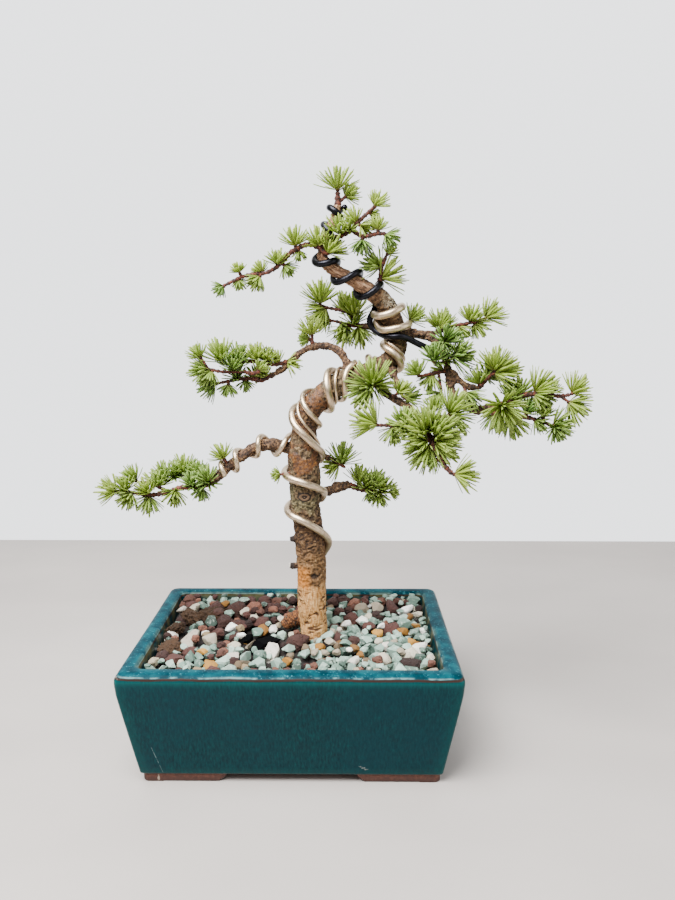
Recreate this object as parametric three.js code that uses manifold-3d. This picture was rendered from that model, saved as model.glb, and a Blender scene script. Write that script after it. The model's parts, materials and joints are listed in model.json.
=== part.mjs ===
// A trained larch bonsai in its glazed pot.
//
// Millimetres, +Z up, front towards -Y. Every place below is measured from the middle of the pot's
// underside, and the last lines move the whole tree so that the middle of its footprint is the origin.
// The trunk and its branches are one piece of wood. Each needle spray is a fused piece of its own, and
// meets the wood face to face across a hairline gap.

import * as THREE from "three";
import { mergeVertices } from "three/addons/utils/BufferGeometryUtils.js";
import Module from "manifold-3d";

const wasm = await Module();
wasm.setup();

// ---------------------------------------------------------------- driving dimensions

const GAP = 0.3; // hairline between pieces that touch
const TURN = 2 * Math.PI;

const POT = {
  width: 200, // across the rim, left to right
  depth: 140,
  height: 73,
  inset: 10, // how far the walls lean in, each side, from rim to underside
  corner: 4,
  lip: 11, // flat top of the rim
  round: 3, // height of the rounded outer edge of the rim
  shoulder: 7, // below the rim's top, where the wall starts to lean in
  shoulderIn: 0.9,
  footHeight: 5.5,
  floorTop: 12.5,
  wallAtFloor: 8,
};
const CORNER_STEPS = 3;
const FOOT = { along: 51, deep: 36, bar: 13, slant: 5, sink: 1, inward: 1.2 };
const DRAIN = { x: 46, radius: 9, sides: 16 };
const SCREEN = { size: 30, thick: 1, cells: 3, bar: 2.5 };
const SOIL = { edge: 64.5, mound: 2.5, grain: 7.8, relief: 4.5, stray: 0.55 };

// ---------------------------------------------------------------- the wood
// Each route lists [x, y, z, radius] from root to tip.

const WOOD = {
  trunk: [
    [12, 0, 60, 9.4], [11, 0, 77, 8.9], [10, 0, 92, 9.3], [10, 0, 111, 9.4], [9, 0, 131, 9.6],
    [7, 0, 148, 9.2], [6, 0, 163, 9.7], [6, 0, 177, 10.2], [5, 0, 189, 9.5], [6, 0, 199, 8.0],
    [7, 1, 209, 7.3], [12, 2, 219, 7.2], [21, 2, 227, 7.3], [32, 2, 234, 7.5], [45, 4, 238, 6.7],
    [55, 7, 243, 5.9], [63, 8, 251, 6.0], [64, 7, 261, 6.5], [60, 5, 272, 6.6], [55, 2, 282, 6.0],
    [47, 0, 288, 4.8], [36, -3, 295, 3.9], [24, -5, 301, 3.5], [18, -5, 308, 3.1], [20, -4, 317, 2.6],
    [24, -2, 328, 2.4], [27, 0, 338, 2.1],
  ],
  rootKnob: [[8, -4, 74, 5], [1, -7, 70, 4.2], [-4, -8, 64, 3.5]],
  lowerLeft: [
    [5, 0, 187, 4.6], [-5, 0, 192, 4.3], [-14, -1, 194, 4.1], [-24, -3, 193, 3.5], [-33, -5, 187, 3.2],
    [-41, -7, 181, 3.1], [-49, -8, 173, 2.7],
  ],
  arch: [
    [34, 2, 236, 4.1], [33, 2, 244, 3.0], [29, 4, 251, 2.5], [22, 6, 255, 2.4], [12, 8, 255, 2.3],
    [5, 8, 252, 2.1], [-2, 7, 246, 2.0], [-7, 6, 241, 1.9], [-15, 5, 237, 1.7],
  ],
  backLeft: [[58, 6, 268, 2.6], [49, 14, 267, 2.0], [41, 20, 268, 1.7]],
  rightUpper: [[64, 6, 262, 4.4], [73, 7, 263, 3.4], [81, 8, 262, 2.8], [87, 9, 263, 2.1]],
  right: [
    [81, 8, 262, 2.6], [88, 6, 258, 2.3], [93, 3, 250, 2.4], [95, 0, 241, 2.6], [97, -2, 230, 2.7],
    [101, -4, 222, 2.9], [108, -6, 218, 3.0], [117, -8, 217, 2.9], [125, -9, 219, 2.2],
  ],
  rightInner: [[95, 0, 241, 2.3], [101, -2, 235, 2.3], [107, -4, 231, 2.1], [114, -5, 230, 1.8]],
  front: [
    [50, 2, 237, 2.9], [53, -8, 230, 2.5], [60, -16, 225, 2.3], [69, -24, 220, 2.2], [77, -32, 214, 2.0],
  ],
  frontBack: [[59, 6, 244, 2.6], [63, 2, 235, 2.1], [66, 0, 228, 1.7]],
  lowerRight: [[8, 2, 166, 3.4], [19, 12, 161, 3.0], [27, 18, 162, 3.3], [34, 22, 163, 3.0]],
  lowerRightTop: [[9, 2, 191, 2.6], [17, 12, 185, 2.0], [25, 18, 180, 1.7]],
  stubHigh: [[3, -2, 133, 1.9], [-3, -5, 134, 1.6]],
  stubLow: [[3, -2, 115, 2.0], [-3.5, -5, 116, 1.7]],
};
const SIDES = { trunk: 10, branch: 6, wire: 5, twig: 4 };
const BARK_RELIEF = 0.03; // share of the radius that the bark plates stand in or out

// ---------------------------------------------------------------- the training wires
// Each leg winds along one route of wood. A row is [knot, turns]: knot 4.5 is halfway between the
// route's points 4 and 5; turns count 0 at the right, 0.25 at the front, 0.5 at the left.

const WIRES = {
  wire_trunk: {
    radius: 2.2,
    legs: [["trunk", [
      [0.2, -0.3], [2.4, -0.27], [3.4, -0.15], [4.0, 0.02], [5.0, 0.27], [5.35, 0.5], [5.6, 0.75],
      [6.0, 1.0], [6.65, 1.25], [6.95, 1.5], [7.35, 1.75], [7.9, 2.0], [9.2, 2.25], [10.3, 2.5],
      [10.9, 2.75], [11.5, 3.0], [12.05, 3.25], [12.6, 3.5], [13.0, 3.75], [13.5, 4.0], [14.0, 4.25],
      [14.45, 4.5], [15.0, 4.75], [15.55, 5.0], [15.95, 5.25], [16.35, 5.5], [16.8, 5.75],
      [17.3, 6.0], [17.6, 6.25], [17.8, 6.5], [18.1, 6.75], [18.4, 7.0], [18.5, 7.25], [18.6, 7.5],
    ]]],
  },
  wire_fine: {
    radius: 1.0,
    legs: [["trunk", [
      [8.1, 1.85], [8.45, 2.0], [9.75, 2.25], [10.75, 2.5], [11.3, 2.75], [11.9, 3.0], [12.45, 3.25],
      [13.0, 3.5], [13.4, 3.75], [13.9, 4.0], [14.4, 4.25], [14.85, 4.5], [15.3, 4.75], [15.9, 5.02],
      [16.25, 5.25], [16.7, 5.5],
    ]]],
  },
  wire_lower_left: {
    radius: 1.6,
    legs: [
      ["lowerLeft", [
        [5.4, 3.3], [5.1, 3.0], [4.95, 2.75], [4.85, 2.5], [4.4, 2.25], [4.1, 2.0], [3.7, 1.75],
        [3.2, 1.5], [2.95, 1.25], [2.7, 1.0], [2.1, 0.75], [1.65, 0.5], [1.4, 0.25], [1.1, 0.0],
      ]],
      ["trunk", [
        [9.0, 0.62], [9.4, 0.75], [9.9, 1.0], [10.5, 1.25], [11.1, 1.5], [11.7, 1.75], [12.4, 2.0],
        [12.9, 2.25], [13.4, 2.5],
      ]],
    ],
  },
  wire_crown: {
    radius: 2.0,
    legs: [["trunk", [
      [16.9, 0.12], [17.3, 0.25], [17.8, 0.5], [18.8, 0.6], [19.3, 0.75], [19.75, 1.0], [20.0, 1.25],
      [20.4, 1.5], [20.6, 1.75], [20.85, 2.0], [21.25, 2.25], [21.7, 2.5], [21.85, 2.75],
      [22.0, 3.0], [22.4, 3.25], [22.9, 3.5], [23.4, 3.75], [24.0, 4.0], [24.4, 4.25], [24.8, 4.5],
      [25.0, 4.75], [25.2, 5.0], [25.5, 5.25], [25.8, 5.5], [25.95, 5.75], [26.1, 6.0],
    ]]],
    hook: [[88, 1, 251], [85, 0, 253], [80, -1, 255]],
  },
};
const WIRE = {
  stepsPerTurn: 10,
  slack: 0.95, // room left for the flats of a tube with few sides
  rounds: 12, // times that each place is pushed clear
};

// ---------------------------------------------------------------- the needle sprays
// stems: [route of [x, y, z], root radius, tip radius]. tufts: [stem, percent along it, clock, front,
// reach, spur]. Clock is the way the tuft points seen from the front, 0 right and 90 up; front is how
// many degrees it leans to the front; reach is its longest needle; spur is the bare shoot under it.

const SPRAYS = {
  needles_apex: {
    stems: [[[[27, 0, 337], [27, 0, 342], [27, 0, 346]], 2.0, 1.2]],
    tufts: [[0, 100, 90, 0, 14, 0], [0, 26, 40, -5, 9, 5], [0, 60, 110, -50, 7, 0]],
  },
  needles_crown_right: {
    stems: [
      [[[23, -3, 318], [29, -6, 320], [35, -9, 323], [41, -10, 329], [48, -12, 335]], 1.6, 0.9],
      [[[35, -9, 323], [42, -12, 319], [50, -14, 320], [55, -15, 320]], 1.4, 0.9],
    ],
    tufts: [
      [0, 20, 105, 25, 12, 0], [0, 58, 120, -5, 9, 0], [0, 100, 55, 0, 9, 0], [0, 86, 0, -25, 5, 1],
      [0, 60, -30, 10, 9, 1], [1, 79, 90, 0, 8, 1], [1, 95, -35, 10, 9, 0], [1, 37, -95, 0, 9, 1],
    ],
  },
  needles_upper_left: {
    stems: [[[
      [21, -9, 309], [16, -8, 313], [10, -7, 315], [0, -6, 311], [-7, -5, 304], [-15, -6, 299],
      [-28, -7, 297], [-41, -8, 291],
    ], 1.6, 0.9]],
    tufts: [
      [0, 0, 55, 25, 12, 0], [0, 9, 100, 15, 11, 0], [0, 30, 95, 0, 11, 1], [0, 27, -90, -20, 6, 1],
      [0, 51, 90, 10, 9, 0], [0, 46, -50, -10, 8, 1], [0, 65, 125, -20, 7, 0], [0, 66, -125, 10, 9, 1],
      [0, 83, 115, 5, 6, 2], [0, 86, -80, -20, 6, 0], [0, 99, 215, 0, 7, 0],
    ],
  },
  needles_crown_spur: {
    stems: [[[[50, 0, 289], [53, -2, 297], [53, -3, 301], [55, -3, 306], [56, -4, 309]], 1.6, 0.9]],
    tufts: [[0, 100, 50, 0, 7, 0], [0, 63, 155, 10, 12, 0], [0, 30, 35, -5, 15, 0]],
  },
  needles_back_left: {
    stems: [
      [[[41, 20, 268], [35, 23, 268], [28, 26, 270], [23, 28, 271]], 1.4, 0.8],
      [[[39, 21, 268], [33, 21, 276], [26, 23, 278], [21, 25, 279], [15, 26, 281]], 1.2, 0.8],
    ],
    tufts: [
      [1, 98, 95, 0, 14, 0], [1, 83, -140, -5, 12, 0], [1, 8, 95, 10, 13, 3], [0, 45, -110, 0, 10, 1],
      [0, 6, -75, 10, 10, 0], [0, 100, 180, -5, 8, 0], [1, 50, 60, -40, 9, 0],
    ],
  },
  needles_right_spur: {
    stems: [[[[72, 9, 263], [72, 13, 270]], 1.1, 0.9]],
    tufts: [[0, 100, 50, -10, 11, 0]],
  },
  needles_right_upper: {
    stems: [[[[87, 9, 263], [95, 8, 266], [101, 7, 268], [107, 6, 269], [118, 5, 272]], 1.4, 0.9]],
    tufts: [
      [0, 14, 95, 0, 11, 0], [0, 52, -60, -5, 7, 0], [0, 74, 95, 20, 8, 0], [0, 80, -50, -20, 8, 0],
      [0, 100, 50, 0, 11, 0], [0, 34, 80, -50, 9, 0],
    ],
  },
  needles_bend_top: {
    stems: [[[[89, 5, 256], [95, 0, 258]], 1.1, 0.9]],
    tufts: [[0, 100, 60, 45, 11, 0]],
  },
  needles_bend_side: {
    stems: [[[[93, 2, 249], [101, -2, 249]], 1.1, 0.9]],
    tufts: [[0, 100, 15, 25, 10, 0]],
  },
  needles_bend_left: {
    stems: [[[[94, 1, 246], [88, -4, 245], [84, -4, 248]], 1.1, 0.9]],
    tufts: [[0, 100, 120, 40, 10, 0]],
  },
  needles_red_twig: {
    stems: [
      [[[95, 0, 240], [85, -5, 239], [76, -7, 237]], 1.1, 0.7],
      [[[89, -3, 239], [90, -5, 232], [91, -6, 228]], 0.9, 0.7],
    ],
    tufts: [[1, 100, -120, -10, 9, 0], [0, 100, 190, 0, 5, 0]],
  },
  needles_right_inner: {
    stems: [[[[114, -5, 230], [118, -8, 236], [122, -10, 240]], 1.3, 1.0]],
    tufts: [[0, 100, 95, 0, 13, 0], [0, 90, 15, 20, 15, 0], [0, 12, 95, -25, 9, 1], [0, 60, 60, -55, 11, 0]],
  },
  needles_inner_spur: {
    stems: [[[[105, -3, 231], [105, -9, 227]], 1.0, 0.8]],
    tufts: [[0, 100, -45, 25, 11, 0]],
  },
  needles_right_front: {
    stems: [[[[123, -9, 219], [125, -18, 221]], 1.1, 0.9]],
    tufts: [[0, 100, -70, 55, 16, 0]],
  },
  needles_right_outer: {
    stems: [
      [[[125, -9, 219], [136, -11, 225], [146, -12, 227], [161, -14, 226], [167, -15, 227]], 1.8, 0.9],
      [[[161, -14, 226], [165, -16, 223]], 1.0, 0.8],
    ],
    tufts: [
      [0, 51, 50, 5, 13, 1], [0, 100, 60, 0, 12, 0], [1, 95, -45, 5, 14, 0], [0, 67, -80, -40, 8, 0],
      [0, 42, 100, -50, 9, 0],
    ],
  },
  needles_right_low: {
    stems: [[[
      [119, -8, 217], [128, -10, 213], [137, -12, 214], [149, -14, 211], [157, -17, 208],
    ], 1.8, 0.9]],
    tufts: [
      [0, 100, -60, 40, 9, 0], [0, 80, 60, 0, 8, 2], [0, 58, 65, -10, 8, 2], [0, 36, -60, -10, 12, 0],
      [0, 97, 20, -25, 10, 0],
    ],
  },
  needles_front_root: {
    stems: [[[[51, -6, 233], [48, -17, 232]], 1.2, 1.0]],
    tufts: [[0, 100, 150, 48, 16, 0], [0, 92, 60, 0, 12, 0]],
  },
  needles_back_bend: {
    stems: [[[[66, 0, 229], [68, 1, 223]], 1.2, 0.9]],
    tufts: [[0, 100, 10, -20, 10, 0]],
  },
  needles_front_knuckle: {
    stems: [[[[60, -16, 225], [62, -23, 228]], 1.0, 0.8]],
    tufts: [[0, 100, 45, 20, 9, 0]],
  },
  needles_front: {
    stems: [
      [[
        [77, -32, 214], [78, -43, 209], [79, -52, 205], [84, -57, 195], [87, -60, 191], [91, -62, 187],
      ], 1.5, 0.8],
      [[[78, -36, 212], [65, -40, 211], [55, -42, 212], [49, -43, 212]], 1.2, 0.8],
      [[[78, -35, 213], [84, -38, 216], [92, -41, 218]], 1.2, 0.8],
    ],
    tufts: [
      [0, 42, 150, 25, 16, 1], [0, 51, 45, 25, 17, 1], [0, 56, -100, 20, 15, 1], [0, 47, 10, 40, 13, 0],
      [0, 100, -35, 0, 13, 0], [1, 100, 165, 0, 11, 0], [1, 86, 85, 10, 9, 0], [1, 46, -60, 30, 10, 0],
      [1, 66, -100, -5, 8, 0], [2, 34, 95, 0, 9, 3], [2, 100, 35, 10, 14, 0], [2, 76, -60, -20, 8, 0],
    ],
  },
  needles_mid_left_low: {
    stems: [[[
      [-15, 5, 237], [-21, 3, 234], [-27, 2, 235], [-33, 1, 235], [-39, 0, 234], [-50, -1, 232],
    ], 1.5, 0.8]],
    tufts: [
      [0, 100, 200, 0, 8, 0], [0, 79, -95, -10, 7, 1], [0, 54, -85, 5, 6, 0], [0, 28, -60, -10, 6, 0],
      [0, 42, 100, -40, 9, 0], [0, 69, 85, 35, 7, 0],
    ],
  },
  needles_mid_left_top: {
    stems: [
      [[[-3, 7, 246], [-11, 3, 244], [-19, 1, 245], [-29, 0, 246], [-38, -1, 244], [-45, -2, 245]], 1.4, 0.8],
      [[[-16, 2, 244], [-24, -5, 239], [-31, -6, 240], [-44, -7, 240], [-52, -8, 242]], 1.2, 0.8],
    ],
    tufts: [
      [0, 8, -30, 10, 10, 0], [0, 14, 110, 0, 7, 0], [0, 33, 90, -5, 7, 0], [0, 52, 85, 0, 9, 0],
      [0, 69, 95, 10, 9, 0], [0, 86, 90, -10, 10, 0], [0, 100, 110, 0, 12, 0], [1, 100, 150, 0, 10, 0],
      [1, 96, 200, 10, 10, 0], [1, 90, -100, -10, 7, 0], [1, 24, -40, 15, 6, 0],
    ],
  },
  needles_arch: {
    stems: [[[[11, 8, 256], [11, 8, 261]], 1.2, 0.9]],
    tufts: [[0, 100, 100, 0, 11, 0], [0, 60, 175, -30, 7, 1]],
  },
  needles_lower_left_spur: {
    stems: [[[[-41, -7, 182], [-44, -9, 187]], 1.1, 0.9]],
    tufts: [[0, 100, 115, 0, 9, 0]],
  },
  needles_lower_left: {
    stems: [
      [[
        [-49, -8, 173], [-55, -9, 170], [-62, -10, 169], [-71, -10, 168], [-80, -11, 165], [-91, -12, 164],
        [-104, -12, 166], [-112, -13, 166],
      ], 2.2, 0.8],
      [[[-54, -8, 170], [-61, -3, 174], [-71, 0, 174], [-82, -1, 170]], 1.2, 0.8],
      [[[-79, -11, 166], [-91, -6, 170], [-99, -6, 171]], 1.1, 0.7],
    ],
    tufts: [
      [0, 8, 110, 15, 9, 0], [0, 13, -100, -5, 7, 1], [1, 30, 100, 0, 8, 0], [1, 62, 90, -5, 11, 0],
      [1, 100, 125, 0, 11, 0], [0, 37, -130, 10, 8, 0], [0, 67, 125, 20, 7, 0], [2, 100, 130, 0, 11, 0],
      [0, 100, 165, 0, 11, 0], [0, 81, -135, 5, 9, 0], [0, 68, -95, -5, 10, 0], [0, 56, -100, -30, 7, 0],
      [0, 26, 70, 40, 7, 0],
    ],
  },
  needles_lower_right: {
    stems: [[[[34, 22, 163], [44, 24, 159], [55, 25, 157], [61, 26, 157]], 1.9, 0.9]],
    tufts: [
      [0, 21, 95, 0, 11, 3], [0, 64, 55, 5, 11, 3], [0, 78, -80, 0, 9, 0], [0, 100, 10, 0, 7, 0],
      [0, 35, -110, -25, 8, 0],
    ],
  },
  needles_lower_right_top: {
    stems: [[[[25, 18, 180], [32, 20, 175]], 1.4, 0.9]],
    tufts: [[0, 100, 60, 10, 9, 0], [0, 20, -100, 10, 7, 1]],
  },
  needles_trunk_shoot: {
    stems: [[[[0, -3, 176], [-8, -6, 176]], 1.0, 0.8]],
    tufts: [[0, 100, 185, 5, 6, 0]],
  },
};
const BUD = { radius: 1.4, above: 0.9 }; // the bud that a tuft grows from, and its height on the stem
const NEEDLE = {
  fan: 84, // degrees from the tuft's axis that needles still grow at
  shortest: 0.82, // share of the tuft's reach
  stray: 0.22,
  clear: 1.1, // distance kept from what belongs to another piece
  clearOwn: 0.3, // distance that the outer part keeps from the tuft's own stem
  cuts: [1, 0.8, 0.6, 0.45], // shares of its length that a needle may be shortened to
};
const LARGE_TUFT = 15; // reach from which a tuft has more needles

// ---------------------------------------------------------------- materials

function finish(colour, roughness, metalness = 0) {
  return new THREE.MeshStandardMaterial({ color: colour, roughness, metalness });
}
const glaze = finish("#1f5a5c", 0.2);
const plastic = finish("#22272a", 0.6);
const gravel = finish("#a9a398", 0.9);
const bark = finish("#7c6247", 0.9);
const champagne = finish("#c9ad90", 0.35, 1);
const blackWire = finish("#26262a", 0.4, 1);
const needleGreen = finish("#86ab4c", 0.6);

// ---------------------------------------------------------------- solids

// A closed triangle mesh as a solid.
function solid(geometry) {
  const bare = geometry.clone();
  for (const name of Object.keys(bare.attributes)) {
    if (name !== "position") {
      bare.deleteAttribute(name);
    }
  }
  const merged = mergeVertices(bare, 1e-4);
  const triVerts = Uint32Array.from(merged.index.array);
  const vertProperties = Float32Array.from(merged.attributes.position.array);
  return new wasm.Manifold(new wasm.Mesh({ numProp: 3, vertProperties, triVerts }));
}

function joined(solids) {
  return solids.reduce((whole, next) => whole.add(next));
}

// The largest body of a solid, so that a scrap that a cut left is dropped.
function largest(shape) {
  return shape.decompose().reduce((best, next) => (next.volume() > best.volume() ? next : best));
}

function toMesh(name, shape, material) {
  const { vertProperties, triVerts, numProp } = shape.getMesh();
  const geometry = new THREE.BufferGeometry();
  const positions = [];
  for (let i = 0; i < vertProperties.length; i += numProp) {
    positions.push(vertProperties[i], vertProperties[i + 1], vertProperties[i + 2]);
  }
  geometry.setAttribute("position", new THREE.Float32BufferAttribute(positions, 3));
  geometry.setIndex(Array.from(triVerts));
  geometry.computeVertexNormals();
  const mesh = new THREE.Mesh(geometry, material);
  mesh.name = name;
  return mesh;
}

// A seeded run of numbers from 0 to 1.
function dice(seed) {
  let state = seed;
  return () => {
    state = (state * 16807) % 2147483647;
    return state / 2147483647;
  };
}

// Closed skin over a stack of rings that all have the same number of points.
function skin(rings) {
  const sides = rings[0].length;
  const points = rings.flat();
  const index = [];
  for (let r = 0; r + 1 < rings.length; r += 1) {
    for (let s = 0; s < sides; s += 1) {
      const a = r * sides + s;
      const b = r * sides + ((s + 1) % sides);
      index.push(a, b, b + sides, a, b + sides, a + sides);
    }
  }
  const top = (rings.length - 1) * sides;
  for (let s = 1; s + 1 < sides; s += 1) {
    index.push(0, s + 1, s);
    index.push(top, top + s, top + s + 1);
  }
  const geometry = new THREE.BufferGeometry().setFromPoints(points);
  geometry.setIndex(index);
  return geometry;
}

// ---------------------------------------------------------------- routes and tubes

const FRONT = new THREE.Vector3(0, -1, 0);

function point(row) {
  return new THREE.Vector3(row[0], row[1], row[2]);
}

// A smooth line through a route's points that also knows the radius at each knot.
function route(rows) {
  const curve = new THREE.CatmullRomCurve3(rows.map(point), false, "centripetal");
  const last = rows.length - 1;
  const radius = (knot) => {
    const low = Math.min(Math.floor(knot), last - 1);
    return THREE.MathUtils.lerp(rows[low][3], rows[low + 1][3], knot - low);
  };
  const at = (knot) => curve.getPoint(knot / last);
  const way = (knot) => curve.getTangent(knot / last);
  return { last, radius, at, way };
}

// Two directions square to the line: to its right and to its front, as seen going along it.
function sideways(way) {
  const front = FRONT.clone().addScaledVector(way, -FRONT.dot(way)).normalize();
  return [new THREE.Vector3().crossVectors(way, front), front];
}

// A tube whose rings turn as little as they can along its line.
function tube(centres, radii, sides, relief = 0) {
  const rings = [];
  let across = null;
  for (let i = 0; i < centres.length; i += 1) {
    const before = centres[Math.max(i - 1, 0)];
    const after = centres[Math.min(i + 1, centres.length - 1)];
    const way = after.clone().sub(before).normalize();
    across = across ?? sideways(way)[0];
    across = across.clone().addScaledVector(way, -across.dot(way)).normalize();
    const up = new THREE.Vector3().crossVectors(way, across);
    rings.push(Array.from({ length: sides }, (_, s) => {
      const angle = (s / sides) * TURN;
      const plate = 1 + relief * Math.sin(3 * angle + 1.7 * i) * Math.sin(2 * angle - 0.9 * i);
      const reach = radii[i] * plate;
      return centres[i].clone()
        .addScaledVector(across, reach * Math.cos(angle))
        .addScaledVector(up, reach * Math.sin(angle));
    }));
  }
  return solid(skin(rings));
}

// Samples one route of wood, grown all round by a little where room for it is cut.
function limbRings(rows, grow) {
  const line = route(rows);
  const knots = Array.from(rows, (_, i) => i);
  const centres = knots.map((knot) => line.at(knot));
  centres[0].addScaledVector(line.way(0), -grow);
  centres[centres.length - 1].addScaledVector(line.way(line.last), grow);
  return [centres, knots.map((knot) => line.radius(knot) + grow)];
}

function wood(grow) {
  return joined(Object.entries(WOOD).map(([name, rows]) => {
    const [centres, radii] = limbRings(rows, grow);
    return tube(centres, radii, name === "trunk" ? SIDES.trunk : SIDES.branch, BARK_RELIEF);
  }));
}

// ---------------------------------------------------------------- room between pieces

// A bar is a straight, tapering stretch of wood, wire or twig, used to measure room only.
function bars(centres, radii, owner) {
  return centres.slice(1).map((end, i) => ({
    line: new THREE.Line3(centres[i], end), radii: [radii[i], radii[i + 1]], owner,
  }));
}

const nearest = new THREE.Vector3();

// How far a place is from the surface of the closest bar, and the way straight out of it.
function room(place, obstacles) {
  let best = { gap: Infinity, out: null };
  for (const bar of obstacles) {
    const share = bar.line.closestPointToPointParameter(place, true);
    bar.line.at(share, nearest);
    const gap = nearest.distanceTo(place) - THREE.MathUtils.lerp(...bar.radii, share);
    if (gap < best.gap) {
      best = { gap, out: place.clone().sub(nearest).normalize() };
    }
  }
  return best;
}

// The least distance between the middles of two straight stretches.
function between(a, b) {
  const d1 = a.end.clone().sub(a.start);
  const d2 = b.end.clone().sub(b.start);
  const r = a.start.clone().sub(b.start);
  const [aa, ee, ff, cc, bb] = [d1.dot(d1), d2.dot(d2), d2.dot(r), d1.dot(r), d1.dot(d2)];
  const spread = aa * ee - bb * bb;
  let s = spread > 1e-9 ? THREE.MathUtils.clamp((bb * ff - cc * ee) / spread, 0, 1) : 0;
  const t = THREE.MathUtils.clamp((bb * s + ff) / ee, 0, 1);
  s = THREE.MathUtils.clamp((bb * t - cc) / aa, 0, 1);
  return a.at(s, new THREE.Vector3()).distanceTo(b.at(t, new THREE.Vector3()));
}

// Whether a needle misses all that it could cross. Near its root it may touch its own stem.
function clear(line, obstacles, owner) {
  const outer = new THREE.Line3(line.at(0.4, new THREE.Vector3()), line.end);
  return obstacles.every((bar) => {
    const [stretch, least] = bar.owner === owner ? [outer, NEEDLE.clearOwn] : [line, NEEDLE.clear];
    return between(stretch, bar.line) - Math.max(...bar.radii) > least;
  });
}

// ---------------------------------------------------------------- pot

const CORNERS = [[1, 1], [-1, 1], [-1, -1], [1, -1]];

function roundedRing(halfWidth, halfDepth, corner, z) {
  return CORNERS.flatMap(([sx, sy], quarter) => Array.from({ length: CORNER_STEPS + 1 }, (_, i) => {
    const angle = ((quarter + i / CORNER_STEPS) * TURN) / 4;
    const x = sx * (halfWidth - corner) + corner * Math.cos(angle);
    const y = sy * (halfDepth - corner) + corner * Math.sin(angle);
    return new THREE.Vector3(x, y, z);
  }));
}

// Half sizes of the inner wall at a height, less a clearance.
function cavityRing(z, clearance) {
  const rise = (z - POT.floorTop) / (POT.height - POT.floorTop);
  const wall = THREE.MathUtils.lerp(POT.inset + POT.wallAtFloor, POT.lip, rise) + clearance;
  return roundedRing(POT.width / 2 - wall, POT.depth / 2 - wall, 3, z);
}

function feet() {
  const [w, d] = [POT.width / 2 - POT.inset, POT.depth / 2 - POT.inset];
  const { along, deep, bar, slant, sink, inward } = FOOT; // inward: unglazed, it stands in from the wall
  const top = POT.footHeight + sink;
  // A bar's long side view: its free end slants back under the pot.
  const rail = (length, wide) => {
    const side = new THREE.Shape([
      new THREE.Vector2(0, 0), new THREE.Vector2(length - slant, 0),
      new THREE.Vector2(length - slant * 0.35, POT.footHeight * 0.6), new THREE.Vector2(length, top),
      new THREE.Vector2(0, top),
    ]);
    return new THREE.ExtrudeGeometry(side, { depth: wide, bevelEnabled: false, steps: 1 });
  };
  return joined(CORNERS.map(([sx, sy]) => {
    const long = rail(along, bar).rotateX(Math.PI / 2);
    const short = rail(deep, bar).rotateX(Math.PI / 2).rotateZ(-Math.PI / 2).translate(bar, 0, 0);
    const foot = solid(long).add(solid(short));
    // The corner stands at the origin and the bars run to +X and -Y; mirror them into each corner.
    return foot.scale([-sx, sy, 1]).translate([sx * (w - inward), sy * (d - inward), 0]);
  }));
}

function pot() {
  const [w, d, c, h] = [POT.width / 2, POT.depth / 2, POT.corner, POT.height];
  const under = POT.footHeight;
  const body = solid(skin([
    roundedRing(w - POT.inset, d - POT.inset, c, under),
    roundedRing(w - POT.shoulderIn, d - POT.shoulderIn, c, h - POT.shoulder),
    roundedRing(w, d, c, h - POT.round),
    roundedRing(w - POT.round * 0.25, d - POT.round * 0.25, c, h - POT.round * 0.25),
    roundedRing(w - POT.round * 0.7, d - POT.round * 0.7, c, h),
  ]));
  const inside = solid(skin([
    cavityRing(POT.floorTop, 0), cavityRing(h - 1.2, 0), cavityRing(h, -1.2), cavityRing(h + 5, -1.2),
  ]));
  const hole = new THREE.CylinderGeometry(DRAIN.radius, DRAIN.radius, 4 * under, DRAIN.sides);
  hole.rotateX(Math.PI / 2);
  const drains = [-1, 1].map((side) => solid(hole.clone().translate(side * DRAIN.x, 0, 2 * under)));
  return joined([body, feet()]).subtract(inside).subtract(joined(drains));
}

function drainScreen(side) {
  const { size, thick, cells, bar } = SCREEN;
  const pitch = (size - bar) / cells;
  const open = new THREE.BoxGeometry(pitch - bar, pitch - bar, 3 * thick);
  const places = Array.from({ length: cells }, (_, i) => (i - (cells - 1) / 2) * pitch);
  const openings = places.flatMap((x) => places.map((y) => solid(open.clone().translate(x, y, 0))));
  const plate = solid(new THREE.BoxGeometry(size, size, thick)).subtract(joined(openings));
  return plate.translate([side * DRAIN.x, 0, POT.floorTop + GAP + thick / 2]);
}

// ---------------------------------------------------------------- soil and gravel

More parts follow.
